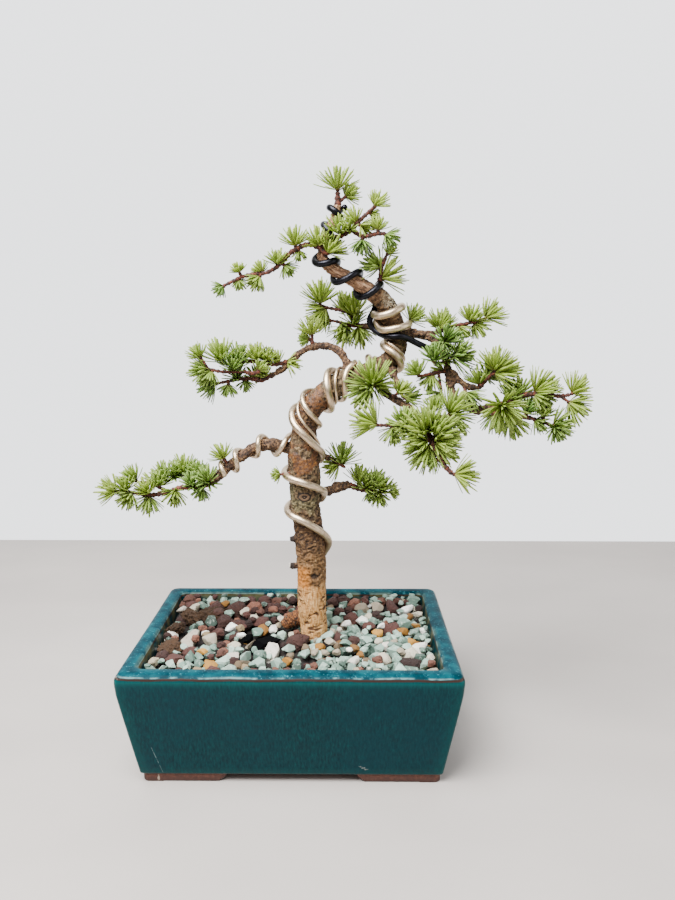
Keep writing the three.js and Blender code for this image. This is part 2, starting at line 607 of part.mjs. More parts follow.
// The bed and its gravel: one block whose top is broken into stone-sized facets.
function soil(trunkRoom) {
  const random = dice(20418);
  const bottom = POT.floorTop + SCREEN.thick + 2 * GAP;
  const [halfWidth, halfDepth] = [POT.width / 2 - POT.lip / 2, POT.depth / 2 - POT.lip / 2];
  const columns = Math.round((2 * halfWidth) / SOIL.grain);
  const rows = Math.round((2 * halfDepth) / SOIL.grain);
  const stray = () => SOIL.grain * SOIL.stray * (random() - 0.5);
  const top = (i, j) => {
    const [u, v] = [(2 * i) / columns - 1, (2 * j) / rows - 1];
    const height = SOIL.edge + SOIL.mound * (1 - Math.max(u * u, v * v)) + SOIL.relief * (random() - 0.5);
    return new THREE.Vector3(u * halfWidth + stray(), v * halfDepth + stray(), height);
  };
  const points = [];
  for (let j = 0; j <= rows; j += 1) {
    for (let i = 0; i <= columns; i += 1) {
      points.push(top(i, j));
    }
  }
  const at = (i, j) => j * (columns + 1) + i;
  const index = [];
  for (let j = 0; j < rows; j += 1) {
    for (let i = 0; i < columns; i += 1) {
      const [a, b, c, d] = [at(i, j), at(i + 1, j), at(i + 1, j + 1), at(i, j + 1)];
      index.push(...((i + j) % 2 ? [a, b, c, a, c, d] : [a, b, d, b, c, d]));
    }
  }
  // The block's sides and underside, all cut away or flat once the pot's cavity trims it.
  const rim = [
    ...Array.from({ length: columns }, (_, i) => at(i, 0)),
    ...Array.from({ length: rows }, (_, j) => at(columns, j)),
    ...Array.from({ length: columns }, (_, i) => at(columns - i, rows)),
    ...Array.from({ length: rows }, (_, j) => at(0, rows - j)),
  ];
  const under = points.length;
  points.push(new THREE.Vector3(0, 0, bottom - 5 * POT.lip));
  rim.forEach((edge, k) => index.push(edge, under, rim[(k + 1) % rim.length]));
  const block = new THREE.BufferGeometry().setFromPoints(points);
  block.setIndex(index);
  const cavity = solid(skin([cavityRing(bottom, GAP), cavityRing(POT.height, GAP)]));
  return largest(solid(block).intersect(cavity).subtract(trunkRoom));
}

// ---------------------------------------------------------------- wires

// Places along a leg, resting on the wood at the wire's own radius.
function windLeg([limb, rows], radius) {
  const line = route(WOOD[limb]);
  const places = [];
  for (let i = 0; i + 1 < rows.length; i += 1) {
    const [from, to] = [rows[i], rows[i + 1]];
    const steps = Math.max(1, Math.round(Math.abs(to[1] - from[1]) * WIRE.stepsPerTurn));
    for (let k = i === 0 ? 0 : 1; k <= steps; k += 1) {
      const knot = Math.min(THREE.MathUtils.lerp(from[0], to[0], k / steps), line.last);
      const angle = THREE.MathUtils.lerp(from[1], to[1], k / steps) * TURN;
      const [right, front] = sideways(line.way(knot));
      const reach = line.radius(knot) + radius + GAP;
      places.push(line.at(knot)
        .addScaledVector(right, reach * Math.cos(angle))
        .addScaledVector(front, reach * Math.sin(angle)));
    }
  }
  return places;
}

// Slides a wire's places out of the wood and out of the wires that were wound before it.
function settle(places, radius, woodBars, wireBars) {
  for (let round = 0; round < WIRE.rounds; round += 1) {
    for (const place of places) {
      for (const obstacles of [woodBars, wireBars]) {
        const { gap, out } = room(place, obstacles);
        const short = radius + WIRE.slack - gap;
        if (short > 0) {
          place.addScaledVector(out, short);
        }
      }
    }
  }
}

// ---------------------------------------------------------------- needle sprays

// A bud with a needle drawn out of each face that looks along the tuft's axis.
function tuft(centre, axis, reach, random, allowed) {
  const base = reach < LARGE_TUFT
    ? new THREE.IcosahedronGeometry(BUD.radius, 0)
    : new THREE.OctahedronGeometry(BUD.radius, 1);
  base.rotateY(TURN * random());
  base.applyQuaternion(new THREE.Quaternion().setFromUnitVectors(new THREE.Vector3(0, 1, 0), axis));
  base.translate(centre.x, centre.y, centre.z);
  const corners = base.attributes.position;
  const triangles = [];
  for (let i = 0; i < corners.count; i += 3) {
    const [a, b, c] = [0, 1, 2].map((k) => new THREE.Vector3().fromBufferAttribute(corners, i + k));
    const middle = a.clone().add(b).add(c).divideScalar(3);
    const way = middle.clone().sub(centre).normalize();
    const wobble = new THREE.Vector3(random() - 0.5, random() - 0.5, random() - 0.5);
    const length = reach * THREE.MathUtils.lerp(NEEDLE.shortest, 1, random());
    const leans = THREE.MathUtils.radToDeg(way.angleTo(axis));
    const tip = centre.clone().addScaledVector(way.addScaledVector(wobble, NEEDLE.stray).normalize(), length);
    const share = leans < NEEDLE.fan ? allowed(middle, tip) : 0;
    if (share > 0) {
      tip.lerpVectors(middle, tip, share);
      triangles.push(a, b, tip, b, c, tip, c, a, tip);
    } else {
      triangles.push(a, b, c);
    }
  }
  return solid(new THREE.BufferGeometry().setFromPoints(triangles));
}

function stemRings([rows, rootRadius, tipRadius]) {
  const line = route(rows);
  const knots = Array.from({ length: line.last + 1 }, (_, i) => i);
  const centres = knots.map((knot) => line.at(knot));
  return [centres, knots.map((knot) => THREE.MathUtils.lerp(rootRadius, tipRadius, knot / line.last))];
}

// Every stem's bars, known before the first needle grows.
const stemBars = Object.entries(SPRAYS).flatMap(([name, { stems }]) => (
  stems.flatMap((stem) => bars(...stemRings(stem), name))
));

function spray(name, { stems, tufts }, obstacles, random) {
  const parts = stems.map((stem) => tube(...stemRings(stem), SIDES.twig));
  for (const [stem, percent, clock, front, reach, spur] of tufts) {
    const grown = [];
    const allowed = (from, to) => {
      for (const share of NEEDLE.cuts) {
        const line = new THREE.Line3(from, from.clone().lerp(to, share));
        if (clear(line, obstacles, name)) {
          grown.push(...bars([line.start, line.end], [0, 0], "needle"));
          return share;
        }
      }
      return 0;
    };
    const [centres] = stemRings(stems[stem]);
    const curve = new THREE.CatmullRomCurve3(centres, false, "centripetal");
    const foot = curve.getPointAt(percent / 100);
    const [turn, tilt] = [THREE.MathUtils.degToRad(clock), THREE.MathUtils.degToRad(front)];
    const across = Math.cos(tilt);
    const axis = new THREE.Vector3(Math.cos(turn) * across, -Math.sin(tilt), Math.sin(turn) * across);
    const centre = foot.clone().addScaledVector(axis, BUD.above + spur);
    if (spur > 0) {
      parts.push(tube([foot, centre], [1, 0.9], SIDES.twig));
    }
    parts.push(tuft(centre, axis, reach, random, allowed));
    obstacles.push(...grown);
  }
  return joined(parts);
}

// ---------------------------------------------------------------- assembly

const bonsai = new THREE.Group();
const pieces = new Map();

pieces.set("pot", [pot(), glaze]);
pieces.set("drain_screen_left", [drainScreen(-1), plastic]);
pieces.set("drain_screen_right", [drainScreen(1), plastic]);

const woodRoom = wood(GAP);
pieces.set("trunk_and_branches", [largest(wood(0)), bark]);
const woodBars = Object.values(WOOD).flatMap((rows) => bars(...limbRings(rows, 0), "wood"));

const wireBars = [];
let wireRoom = null;
for (const [name, { radius, legs, hook }] of Object.entries(WIRES)) {
  const wound = legs.flatMap((leg) => windLeg(leg, radius));
  settle(wound, radius, woodBars, wireBars);
  const places = [...(hook ?? []).map(point), ...wound];
  const wire = tube(places, places.map(() => radius), SIDES.wire);
  const grown = tube(places, places.map(() => radius + GAP), SIDES.wire);
  const cut = wireRoom ? wire.subtract(woodRoom).subtract(wireRoom) : wire.subtract(woodRoom);
  pieces.set(name, [largest(cut), name === "wire_crown" ? blackWire : champagne]);
  wireRoom = wireRoom ? wireRoom.add(grown) : grown;
  wireBars.push(...bars(places, places.map(() => radius), "wire"));
}

pieces.set("soil_and_gravel", [soil(woodRoom.add(wireRoom)), gravel]);

const random = dice(7331);
const obstacles = [...woodBars, ...wireBars, ...stemBars];
for (const [name, plan] of Object.entries(SPRAYS)) {
  const shape = spray(name, plan, obstacles, random);
  pieces.set(name, [largest(shape.subtract(woodRoom).subtract(wireRoom)), needleGreen]);
}

for (const [name, [shape, material]] of pieces) {
  bonsai.add(toMesh(name, shape, material));
}

// The middle of the footprint of the whole tree becomes the origin.
const box = new THREE.Box3().setFromObject(bonsai);
const middle = box.getCenter(new THREE.Vector3());
bonsai.position.set(-middle.x, -middle.y, -box.min.z);

export default bonsai;
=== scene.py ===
# %% [markdown]
# # A larch bonsai in a glazed pot
#
# A bonsai larch is a small tree whose trunk and branches were bent with wire and kept short with
# scissors. This lesson dresses its plain solids, piece by piece: the glazed pot, the gravel, the wood,
# the training wires and the sprays of soft needles. Each piece is made where its solid stands, so
# every place below is measured, as on the workbench, in millimetres from the middle of the pot's
# underside: +X to the right, +Y to the back, +Z up.

# %% The frame and its measures
import json
import math
from functools import partial

import bmesh
import bpy
import numpy as np
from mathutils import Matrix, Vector, noise

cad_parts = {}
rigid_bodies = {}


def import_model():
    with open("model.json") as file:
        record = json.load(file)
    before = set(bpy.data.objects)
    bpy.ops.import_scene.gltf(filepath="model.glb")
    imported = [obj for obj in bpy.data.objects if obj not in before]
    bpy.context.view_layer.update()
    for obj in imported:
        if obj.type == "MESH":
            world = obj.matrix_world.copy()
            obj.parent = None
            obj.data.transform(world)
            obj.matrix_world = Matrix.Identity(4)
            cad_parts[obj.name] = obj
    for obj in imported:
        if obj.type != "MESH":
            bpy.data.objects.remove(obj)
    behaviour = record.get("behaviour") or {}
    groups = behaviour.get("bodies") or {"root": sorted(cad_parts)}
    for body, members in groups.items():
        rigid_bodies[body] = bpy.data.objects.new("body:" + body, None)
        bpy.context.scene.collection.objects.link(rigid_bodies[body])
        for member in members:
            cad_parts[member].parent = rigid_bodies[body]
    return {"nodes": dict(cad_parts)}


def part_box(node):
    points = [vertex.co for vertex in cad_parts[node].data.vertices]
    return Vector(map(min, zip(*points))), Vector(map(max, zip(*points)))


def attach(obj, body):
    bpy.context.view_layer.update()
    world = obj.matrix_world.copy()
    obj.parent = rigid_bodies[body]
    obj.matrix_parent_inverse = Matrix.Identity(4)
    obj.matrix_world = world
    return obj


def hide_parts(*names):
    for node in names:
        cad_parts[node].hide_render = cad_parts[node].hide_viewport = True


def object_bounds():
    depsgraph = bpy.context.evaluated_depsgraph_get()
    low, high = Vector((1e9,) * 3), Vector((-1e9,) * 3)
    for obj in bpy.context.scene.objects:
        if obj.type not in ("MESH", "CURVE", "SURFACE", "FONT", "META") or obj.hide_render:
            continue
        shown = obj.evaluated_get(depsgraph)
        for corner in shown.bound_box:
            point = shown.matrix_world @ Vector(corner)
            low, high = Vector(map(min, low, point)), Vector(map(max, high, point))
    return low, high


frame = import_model()
cad_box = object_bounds()
MM = 0.001
TURN = 2 * math.pi
FRONT = np.array([0.0, -1.0, 0.0])
pot_low, pot_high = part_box("pot")
POT_MIDDLE = np.array([(pot_low.x + pot_high.x) / 2, (pot_low.y + pot_high.y) / 2, pot_low.z])


def metres(points):
    """Millimetres from the middle of the pot's underside, as metres in the frame."""
    return np.asarray(points, float) * MM + POT_MIDDLE


print("solids to dress:", len(frame["nodes"]), "- pot's middle:", POT_MIDDLE.round(4))

# %% [markdown]
# ## Camera, table and light
#
# A photographer sets up before touching the subject, and so does this lesson. The camera looks a
# little down on the tree from the front. The table is one pale matt slab that ends behind the pot.
# Two large soft lamps and a pale surrounding stand for a bright room, because glaze and metal only
# look right when they have something broad to reflect.

# %% Camera
EYE = [30.4, -435.3, 266.7]
LOOKS_DOWN = 9.94  # degrees
TURNED_LEFT = 0.46
lens = bpy.data.cameras.new("camera")
lens.sensor_width = 36
lens.lens = 28
lens.clip_start = 0.01
camera = bpy.data.objects.new("camera", lens)
camera.location = metres(EYE)
camera.rotation_euler = (math.radians(90 - LOOKS_DOWN), 0, math.radians(TURNED_LEFT))
bpy.context.scene.collection.objects.link(camera)
bpy.context.scene.camera = camera
print("camera", camera.location)

# %% [markdown]
# ## Colours and shader nodes
#
# Finishes are written down as sRGB hex values, the way a paint chart gives them, and one function
# turns them into the linear light that shaders work in. A second function adds any shader node with
# its settings and its links, so that a finish below reads from its pattern to its surface. Two more
# follow the way finishes are made: colours laid over one another in coats, and the plain finish of a
# stuff that is all one grain, such as soil or a stone slab.

# %% Colour and node helpers


def colour(code):
    """An sRGB hex colour as linear red, green, blue and alpha."""
    shares = [int(code[i:i + 2], 16) / 255 for i in (1, 3, 5)]
    return [*(c / 12.92 if c <= 0.04045 else ((c + 0.055) / 1.055) ** 2.4 for c in shares), 1.0]


def node(tree, kind, inputs=None, stops=(), **settings):
    """Adds one shader node: settings are its own, inputs go in its sockets, stops are a ramp's."""
    made = tree.nodes.new("ShaderNode" + kind)
    for name, value in settings.items():
        setattr(made, name, value)
    for name, value in (inputs or {}).items():
        if isinstance(value, bpy.types.NodeSocket):
            tree.links.new(value, made.inputs[name])
        else:
            made.inputs[name].default_value = colour(value) if isinstance(value, str) else value
    for i, (share, code) in enumerate(stops):
        element = made.color_ramp.elements[i] if i < 2 else made.color_ramp.elements.new(share)
        element.position = share
        element.color = colour(code)
    return made.outputs


def new_finish(name):
    """A material without nodes, and the function that adds one to it."""
    material = bpy.data.materials.new(name)
    material.use_nodes = True
    material.node_tree.nodes.clear()
    return material, partial(node, material.node_tree)


print("teal as linear light:", [round(c, 3) for c in colour("#1f5a5c")])

# %% Coats and grain
MIX_FACTOR, MIX_A, MIX_B, MIXED = 0, 6, 7, 2  # sockets of a Mix node that mixes colours
SPAN = ("Value", "From Min", "From Max", "To Min", "To Max")  # sockets of a Map Range node


def coats(add, base, layers):
    """Colours laid over a base: each row is a colour and the shares whose product lets it show."""
    for above, *shares in layers:
        share = shares[0]
        for other in shares[1:]:
            share = add("Math", {0: share, 1: other}, operation="MULTIPLY", use_clamp=True)["Value"]
        inputs = {MIX_FACTOR: share, MIX_A: base, MIX_B: above}
        base = add("Mix", inputs, data_type="RGBA", clamp_factor=True)[MIXED]
    return base


def grainy(name, pattern, tones, roughness, relief=None, where="Object"):
    """A finish of one grain, in tones from its hollows to its tops; relief is a strength and a depth."""
    finish, add = new_finish(name)
    grain = add("TexNoise", {"Vector": add("TexCoord")[where], **pattern})["Fac"]
    surface = {"Roughness": roughness, "Base Color": add("ValToRGB", {"Fac": grain}, stops=tones)["Color"]}
    if relief:
        bump = {"Height": grain, "Strength": relief[0], "Distance": relief[1]}
        surface["Normal"] = add("Bump", bump)["Normal"]
    add("OutputMaterial", {"Surface": add("BsdfPrincipled", surface)["BSDF"]})
    return finish


print("coats and grain ready")

# %% Table
TABLE = {"left": -1500, "right": 1500, "front": -1500, "back": 420}
# Honed stone is ground flat but not polished: matt, with soft clouds a hand or two wide.
stone_finish = grainy("pale_honed_stone", {"Scale": 14, "Detail": 6}, [(0.3, "#a8a19c"), (0.7, "#b5aea8")],
                      0.7, where="Generated")
slab = bpy.data.meshes.new("table")
corners = [(x, y, 0) for x, y in (
    (TABLE["left"], TABLE["front"]), (TABLE["right"], TABLE["front"]),
    (TABLE["right"], TABLE["back"]), (TABLE["left"], TABLE["back"]),
)]
slab.from_pydata(metres(corners).tolist(), [], [(0, 1, 2, 3)])
slab.materials.append(stone_finish)
table = bpy.data.objects.new("table", slab)
bpy.context.scene.collection.objects.link(table)
print("table of", stone_finish.name)

# %% Lamps
LAMPS = {  # place, what it looks at, side of its square and watts
    "lamp_above": ([-250, -350, 900], [0, 0, 120], 0.6, 38),
    "lamp_right": ([700, -250, 420], [0, 0, 180], 0.6, 3),
}
for name, (stands, looks_at, side, watts) in LAMPS.items():
    lamp = bpy.data.lights.new(name, "AREA")
    lamp.size = side
    lamp.energy = watts
    holder = bpy.data.objects.new(name, lamp)
    holder.location = metres(stands)
    holder.rotation_euler = (Vector(looks_at) - Vector(stands)).to_track_quat("-Z", "Y").to_euler()
    bpy.context.scene.collection.objects.link(holder)
print("lamps:", ", ".join(LAMPS))

# %% The room
# A bright white wall behind the table, a softly lit ceiling, and little light from below.
WALL_LIGHT, CEILING_LIGHT, LOW_LIGHT = 2.8, 0.72, 0.24
world = bpy.data.worlds.new("pale_room")
world.use_nodes = True
world.node_tree.nodes.clear()
add = partial(node, world.node_tree)
way = add("SeparateXYZ", {"Vector": add("TexCoord")["Generated"]})
overhead, behind = (
    add("MapRange", dict(zip(SPAN, row)), interpolation_type="SMOOTHSTEP")["Result"] for row in (
        (way["Z"], 0.05, 0.8, LOW_LIGHT, CEILING_LIGHT), (way["Y"], 0.55, 0.8, 0, WALL_LIGHT),
    )
)
strength = add("Math", {0: overhead, 1: behind}, operation="ADD")["Value"]
add("OutputWorld", {
    "Surface": add("Background", {"Color": "#e9ebee", "Strength": strength})["Background"],
})
bpy.context.scene.world = world
print("room:", world.name)

# %% [markdown]
# ## From arrays to pieces
#
# Every piece below is worked out as two arrays, its points and its triangles, and then handed to
# Blender in one go. That keeps thousands of needles or stones fast, and lets a finish read numbers
# that were worked out with the shape, such as how far along a needle a point lies.

# %% Mesh helpers


def mesh_object(name, points, triangles, finishes):
    """A smooth-shaded object, in metres, from points in millimetres."""
    mesh = bpy.data.meshes.new(name)
    mesh.vertices.add(len(points))
    mesh.vertices.foreach_set("co", metres(points).astype(np.float32).ravel())
    mesh.loops.add(triangles.size)
    mesh.loops.foreach_set("vertex_index", triangles.astype(np.int32).ravel())
    mesh.polygons.add(len(triangles))
    mesh.polygons.foreach_set("loop_start", np.arange(0, triangles.size, 3, dtype=np.int32))
    mesh.polygons.foreach_set("use_smooth", np.ones(len(triangles), bool))
    mesh.update(calc_edges=True)
    for finish in finishes:
        mesh.materials.append(finish)
    made = bpy.data.objects.new(name, mesh)
    bpy.context.scene.collection.objects.link(made)
    return made


def paint(piece, name, values):
    """Keeps one number for each point, which a finish reads by that name."""
    layer = piece.data.attributes.new(name, "FLOAT", "POINT")
    layer.data.foreach_set("value", np.asarray(values, np.float32))


def points_of(piece):
    """A piece's points, in millimetres."""
    points = np.empty(len(piece.data.vertices) * 3)
    piece.data.vertices.foreach_get("co", points)
    return (points.reshape(-1, 3) - POT_MIDDLE) / MM


def finish_piece(piece, solid):
    """The piece rides on the tree's one body, takes its solid's place, and is reported."""
    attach(piece, "root")
    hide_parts(solid)
    print(f"{piece.name}: {len(piece.data.polygons)} faces")


def merged(shapes):
    """Several shapes, each (points, triangles), as one."""
    starts = np.cumsum([0] + [len(points) for points, _ in shapes])
    points = np.vstack([points for points, _ in shapes])
    return points, np.vstack([triangles + start for (_, triangles), start in zip(shapes, starts)])


def unit(vectors):
    """Vectors at length 1."""
    vectors = np.asarray(vectors, float)
    return vectors / np.linalg.norm(vectors, axis=-1, keepdims=True)


def skin(rings):
    """A closed skin over rings of the same number of points, with a fan over each end."""
    count, sides = rings.shape[:2]
    points = np.vstack([rings.reshape(-1, 3), rings[0].mean(0), rings[-1].mean(0)])
    side = np.arange(sides)
    here = np.arange(count - 1)[:, None] * sides + side
    beside = np.arange(count - 1)[:, None] * sides + (side + 1) % sides
    lower = np.stack([here, beside, beside + sides], -1).reshape(-1, 3)
    upper = np.stack([here, beside + sides, here + sides], -1).reshape(-1, 3)
    last = (count - 1) * sides
    start = np.stack([(side + 1) % sides, side, np.full(sides, count * sides)], -1)
    end = np.stack([last + side, last + (side + 1) % sides, np.full(sides, count * sides + 1)], -1)
    return points, np.vstack([lower, upper, start, end])


def new_dice(seed):
    """A seeded source of random numbers, so that every run makes the same tree."""
    return np.random.default_rng(seed)


print("helpers ready")

# %% [markdown]
# ## Routes, tubes and room
#
# Wood, wire and twigs all follow routes: a few places set by hand, with a smooth curve through them.
# A tube is swept along that curve with rings that turn as little as they can, so it never twists. To
# keep wires and needles out of the wood, each route is also known as a row of short tapering bars,
# and one function tells how far any place is from the surface of the nearest bar.

# %% Curves and tubes


def smooth_line(knots, where):
    """Places on the centripetal curve through the knots; 4.5 is halfway from knot 4 to knot 5."""
    knots = np.asarray(knots, float)
    padded = np.vstack([2 * knots[0] - knots[1], knots, 2 * knots[-1] - knots[-2]])
    where = np.asarray(where, float)
    first = np.clip(where.astype(int), 0, len(knots) - 2)
    share = (where - first)[:, None]
    a, b, c, d = (padded[first + i] for i in range(4))
    ab, bc, cd = (np.linalg.norm(q - p, axis=1, keepdims=True) ** 0.5 for p, q in ((a, b), (b, c), (c, d)))
    leave = ((b - a) / ab - (c - a) / (ab + bc) + (c - b) / bc) * bc
    arrive = ((c - b) / bc - (d - b) / (bc + cd) + (d - c) / cd) * bc
    bend = 3 * (c - b) - 2 * leave - arrive
    close = 2 * (b - c) + leave + arrive
    return b + leave * share + bend * share ** 2 + close * share ** 3


def lengths_along(line):
    """How far along a line each of its places lies, in millimetres."""
    return np.concatenate([[0], np.cumsum(np.linalg.norm(np.diff(line, axis=0), axis=1))])


def read_off(where, lengths, rows):
    """Rows of numbers along a line, read off at other lengths."""
    return np.stack([np.interp(where, lengths, column) for column in np.transpose(rows)], -1)


def sideways(ways):
    """For each way along a line, the directions to its right and to its front."""
    fronts = unit(FRONT - ways * (ways @ FRONT)[:, None])
    return np.cross(ways, fronts), fronts


def sweep(centres, radii, sides):
    """Rings along a line, each turned as little as can be from the one before it."""
    ways = unit(np.gradient(centres, axis=0))
    across = sideways(ways[:1])[0][0]
    acrosses = []
    for way in ways:
        across = unit(across - way * (across @ way))
        acrosses.append(across)
    acrosses = np.array(acrosses)
    ups = np.cross(ways, acrosses)
    angles = (np.arange(sides) / sides * TURN)[:, None]
    spread = acrosses[:, None] * np.cos(angles) + ups[:, None] * np.sin(angles)
    return centres[:, None] + spread * np.reshape(radii, (len(centres), -1, 1))


END_RINGS = 4  # in the rounding of a rod's end


def rounded_rod(centres, radius, sides):
    """A tube of one thickness with softly rounded ends."""
    turns = np.arange(END_RINGS) / END_RINGS * TURN / 4
    shrink = np.sin(turns + 0.02) * radius
    reach = (1 - np.cos(turns)) * radius
    ways = unit([centres[0] - centres[1], centres[-1] - centres[-2]])
    lead = centres[0] + ways[0] * (radius - reach)[:, None]
    trail = centres[-1] + ways[1] * (radius - reach)[::-1, None]
    line = np.vstack([lead, centres, trail])
    return skin(sweep(line, np.concatenate([shrink, np.full(len(centres), radius), shrink[::-1]]), sides))


STEPS_PER_KNOT = 10  # along a limb, from one listed place to the next


def limb_line(rows):
    """Places along one route of wood and the wood's radius at each."""
    rows = np.array(rows, float)
    knots = np.linspace(0, len(rows) - 1, (len(rows) - 1) * STEPS_PER_KNOT + 1)
    return smooth_line(rows[:, :3], knots), np.interp(knots, np.arange(len(rows)), rows[:, 3])


print("curves and tubes ready")

# %% Bars and the room round them


def bars_of(centres, radii):
    """A line's short tapering bars: start and end places, start and end radii."""
    radii = np.broadcast_to(radii, len(centres))
    return centres[:-1], centres[1:], np.stack([radii[:-1], radii[1:]], 1)


def gathered(rows_of_bars):
    """Several rows of bars as one."""
    return tuple(np.vstack(part) for part in zip(*rows_of_bars))


def clearance(places, bars):
    """For each place: the gap to the nearest bar's surface, the way out, the bar and the share along it."""
    starts, ends, radii = bars
    lines = ends - starts
    share = ((places[:, None] - starts) * lines).sum(-1) / (lines ** 2).sum(-1)
    share = np.clip(share, 0, 1)
    away = places[:, None] - starts - share[..., None] * lines
    distance = np.linalg.norm(away, axis=-1)
    gaps = distance - radii[:, 0] - share * (radii[:, 1] - radii[:, 0])
    row = np.arange(len(places))
    nearest = gaps.argmin(1)
    out = away[row, nearest] / np.maximum(distance[row, nearest], 1e-6)[:, None]
    return gaps[row, nearest], out, nearest, share[row, nearest]


def near(centre, reach, bars):
    """Only the bars that come within reach of a place."""
    starts, ends, radii = bars
    middles, halves = (starts + ends) / 2, np.linalg.norm(ends - starts, axis=1) / 2
    close = np.linalg.norm(middles - centre, axis=1) - halves - radii[:, 0] < reach
    return tuple(part[close] for part in bars)


AT_A_TIME = 2000  # places, so that the table of gaps fits in memory


def by_parts(places, bars):
    """The clearance of very many places, a few thousand at a time."""
    parts = [clearance(places[i:i + AT_A_TIME], bars) for i in range(0, len(places), AT_A_TIME)]
    return [np.concatenate(part) for part in zip(*parts)]


print("gaps are worked out for", AT_A_TIME, "places at a time")

# %% Routes of the wood
# Each route lists [x, y, z, radius] from root to tip.
WOOD = {
    "trunk": [
        [12, 0, 60, 9.4], [11, 0, 77, 8.9], [10, 0, 92, 9.3], [10, 0, 111, 9.4], [9, 0, 131, 9.6],
        [7, 0, 148, 9.2], [6, 0, 163, 9.7], [6, 0, 177, 10.2], [5, 0, 189, 9.5], [6, 0, 199, 8.0],
        [7, 1, 209, 7.3], [12, 2, 219, 7.2], [21, 2, 227, 7.3], [32, 2, 234, 7.5], [45, 4, 238, 6.7],
        [55, 7, 243, 5.9], [63, 8, 251, 6.0], [64, 7, 261, 6.5], [60, 5, 272, 6.6], [55, 2, 282, 6.0],
        [47, 0, 288, 4.8], [36, -3, 295, 3.9], [24, -5, 301, 3.5], [18, -5, 308, 3.1], [20, -4, 317, 2.6],
        [24, -2, 328, 2.4], [27, 0, 338, 2.1],
    ],
    "rootKnob": [[9, 1, 79.5, 5.4], [1, 3, 77, 5.3], [-4, 4, 74.8, 4.8], [-8, 4, 71, 3.8]],
    "lowerLeft": [
        [5, 0, 187, 4.6], [-5, 0, 192, 4.3], [-14, -1, 194, 4.1], [-24, -3, 193, 3.5], [-33, -5, 187, 3.2],
        [-41, -7, 181, 3.1], [-49, -8, 173, 2.7],
    ],
    "arch": [
        [34, 2, 236, 4.1], [33, 2, 244, 3.0], [29, 4, 251, 2.5], [22, 6, 255, 2.4], [12, 8, 255, 2.3],
        [5, 8, 252, 2.1], [-2, 7, 246, 2.0], [-7, 6, 241, 1.9], [-15, 5, 237, 1.7],
    ],
    "backLeft": [[58, 6, 268, 2.6], [49, 14, 267, 2.0], [41, 20, 268, 1.7]],
    "rightUpper": [[64, 6, 262, 4.4], [73, 7, 263, 3.4], [81, 8, 262, 2.8], [87, 9, 263, 2.1]],
    "right": [
        [81, 8, 262, 2.6], [88, 6, 258, 2.3], [93, 3, 250, 2.4], [95, 0, 241, 2.6], [97, -2, 230, 2.7],
        [101, -4, 222, 2.9], [108, -6, 218, 3.0], [117, -8, 217, 2.9], [125, -9, 219, 2.2],
    ],
    "rightInner": [[95, 0, 241, 2.3], [101, -2, 235, 2.3], [107, -4, 231, 2.1], [114, -5, 230, 1.8]],
    "front": [
        [50, 2, 237, 2.9], [53, -8, 230, 2.5], [60, -16, 225, 2.3], [69, -24, 220, 2.2],
        [77, -32, 214, 2.0],
    ],
    "frontBack": [[59, 6, 244, 2.6], [63, 2, 235, 2.1], [66, 0, 228, 1.7]],
    "lowerRight": [[8, 2, 166, 3.4], [19, 12, 161, 3.0], [27, 18, 162, 3.3], [34, 22, 163, 3.0]],
    "lowerRightTop": [[9, 2, 191, 2.6], [17, 12, 185, 2.0], [25, 18, 180, 1.7]],
    "stubHigh": [[3, -2, 133, 1.9], [-3, -5, 134, 1.6]],
    "stubLow": [[3, -2, 115, 2.0], [-3.5, -5, 116, 1.7]],
}
LIMBS = {name: limb_line(rows) for name, rows in WOOD.items()}
WOOD_BARS = gathered([bars_of(*limb) for limb in LIMBS.values()])
print("routes of wood:", len(WOOD), "as", len(WOOD_BARS[0]), "bars")

# %% [markdown]
# ## The pot
#
# The pot is one thrown and trimmed body: walls that lean out towards a flat rim, a floor with two
# drain holes, and an L-shaped foot under each corner. Its skin is a stack of rounded rectangles that
# follows one profile from the underside, up the outside, over the rim and down to the floor. Hands
# never press clay quite flat, so the long walls dip in by a fraction of a millimetre.
#
# The glaze is thick and glassy. It runs down in faint streaks, breaks to a thin brown line where it
# thins out over sharp edges, and pools lighter and greener at the lower edges. The feet were wiped
# clean of glaze and show the red-brown clay.

# %% Shape of the pot
HALF_WIDTH, HALF_DEPTH = 100, 70
UNDER, RIM_TOP, FLOOR_TOP = 5.5, 73, 12.5  # heights of the pot's underside, rim and floor
OUTSIDE = [  # how far the skin stands in from the rim's outer edge, and its height
    (11.0, UNDER), (10.4, 5.6), (10.0, 6.0), (9.7, 6.8), (9.0, 11), (8.0, 17), (7.0, 23), (6.0, 29),
    (5.0, 35), (4.0, 41), (3.2, 46), (2.4, 51), (1.6, 56), (0.9, 60.5), (0.5, 63.5), (0.2, 65.5),
    (0.0, 67.2), (0.0, 68.8), (0.2, 69.8), (0.6, 70.6), (1.0, 71.1), (1.6, 71.8), (2.4, 72.4),
    (3.4, 72.8), (4.6, RIM_TOP),
]
INSIDE = [
    (6.4, RIM_TOP), (8.3, 72.9), (9.4, 72.6), (10.2, 72.1), (10.7, 71.3), (11.0, 70.2), (11.6, 67),
    (12.6, 59), (14.8, 40), (17.2, 19), (18.0, 14.4), (18.8, 13.0), (20.4, FLOOR_TOP),
]
CORNER_WALL, CORNER_RIM, CORNER_IN = 1.8, 4.5, 5.0  # radii of the upright corners
RIM_STARTS, RIM_ROUND = 60, 71.5  # between these heights the corner grows from the wall's to the rim's
ALONG, DEEP, CORNER = 30, 20, 8  # steps in a ring's long side, short side and corner
QUARTERS = [(1, 1, ALONG), (-1, 1, DEEP), (-1, -1, ALONG), (1, -1, DEEP)]  # and the side that follows
DIP, PRESSED, PRESSED_END = 0.45, 0.16, 0.12  # mm, the long walls' dip and the marks of hands


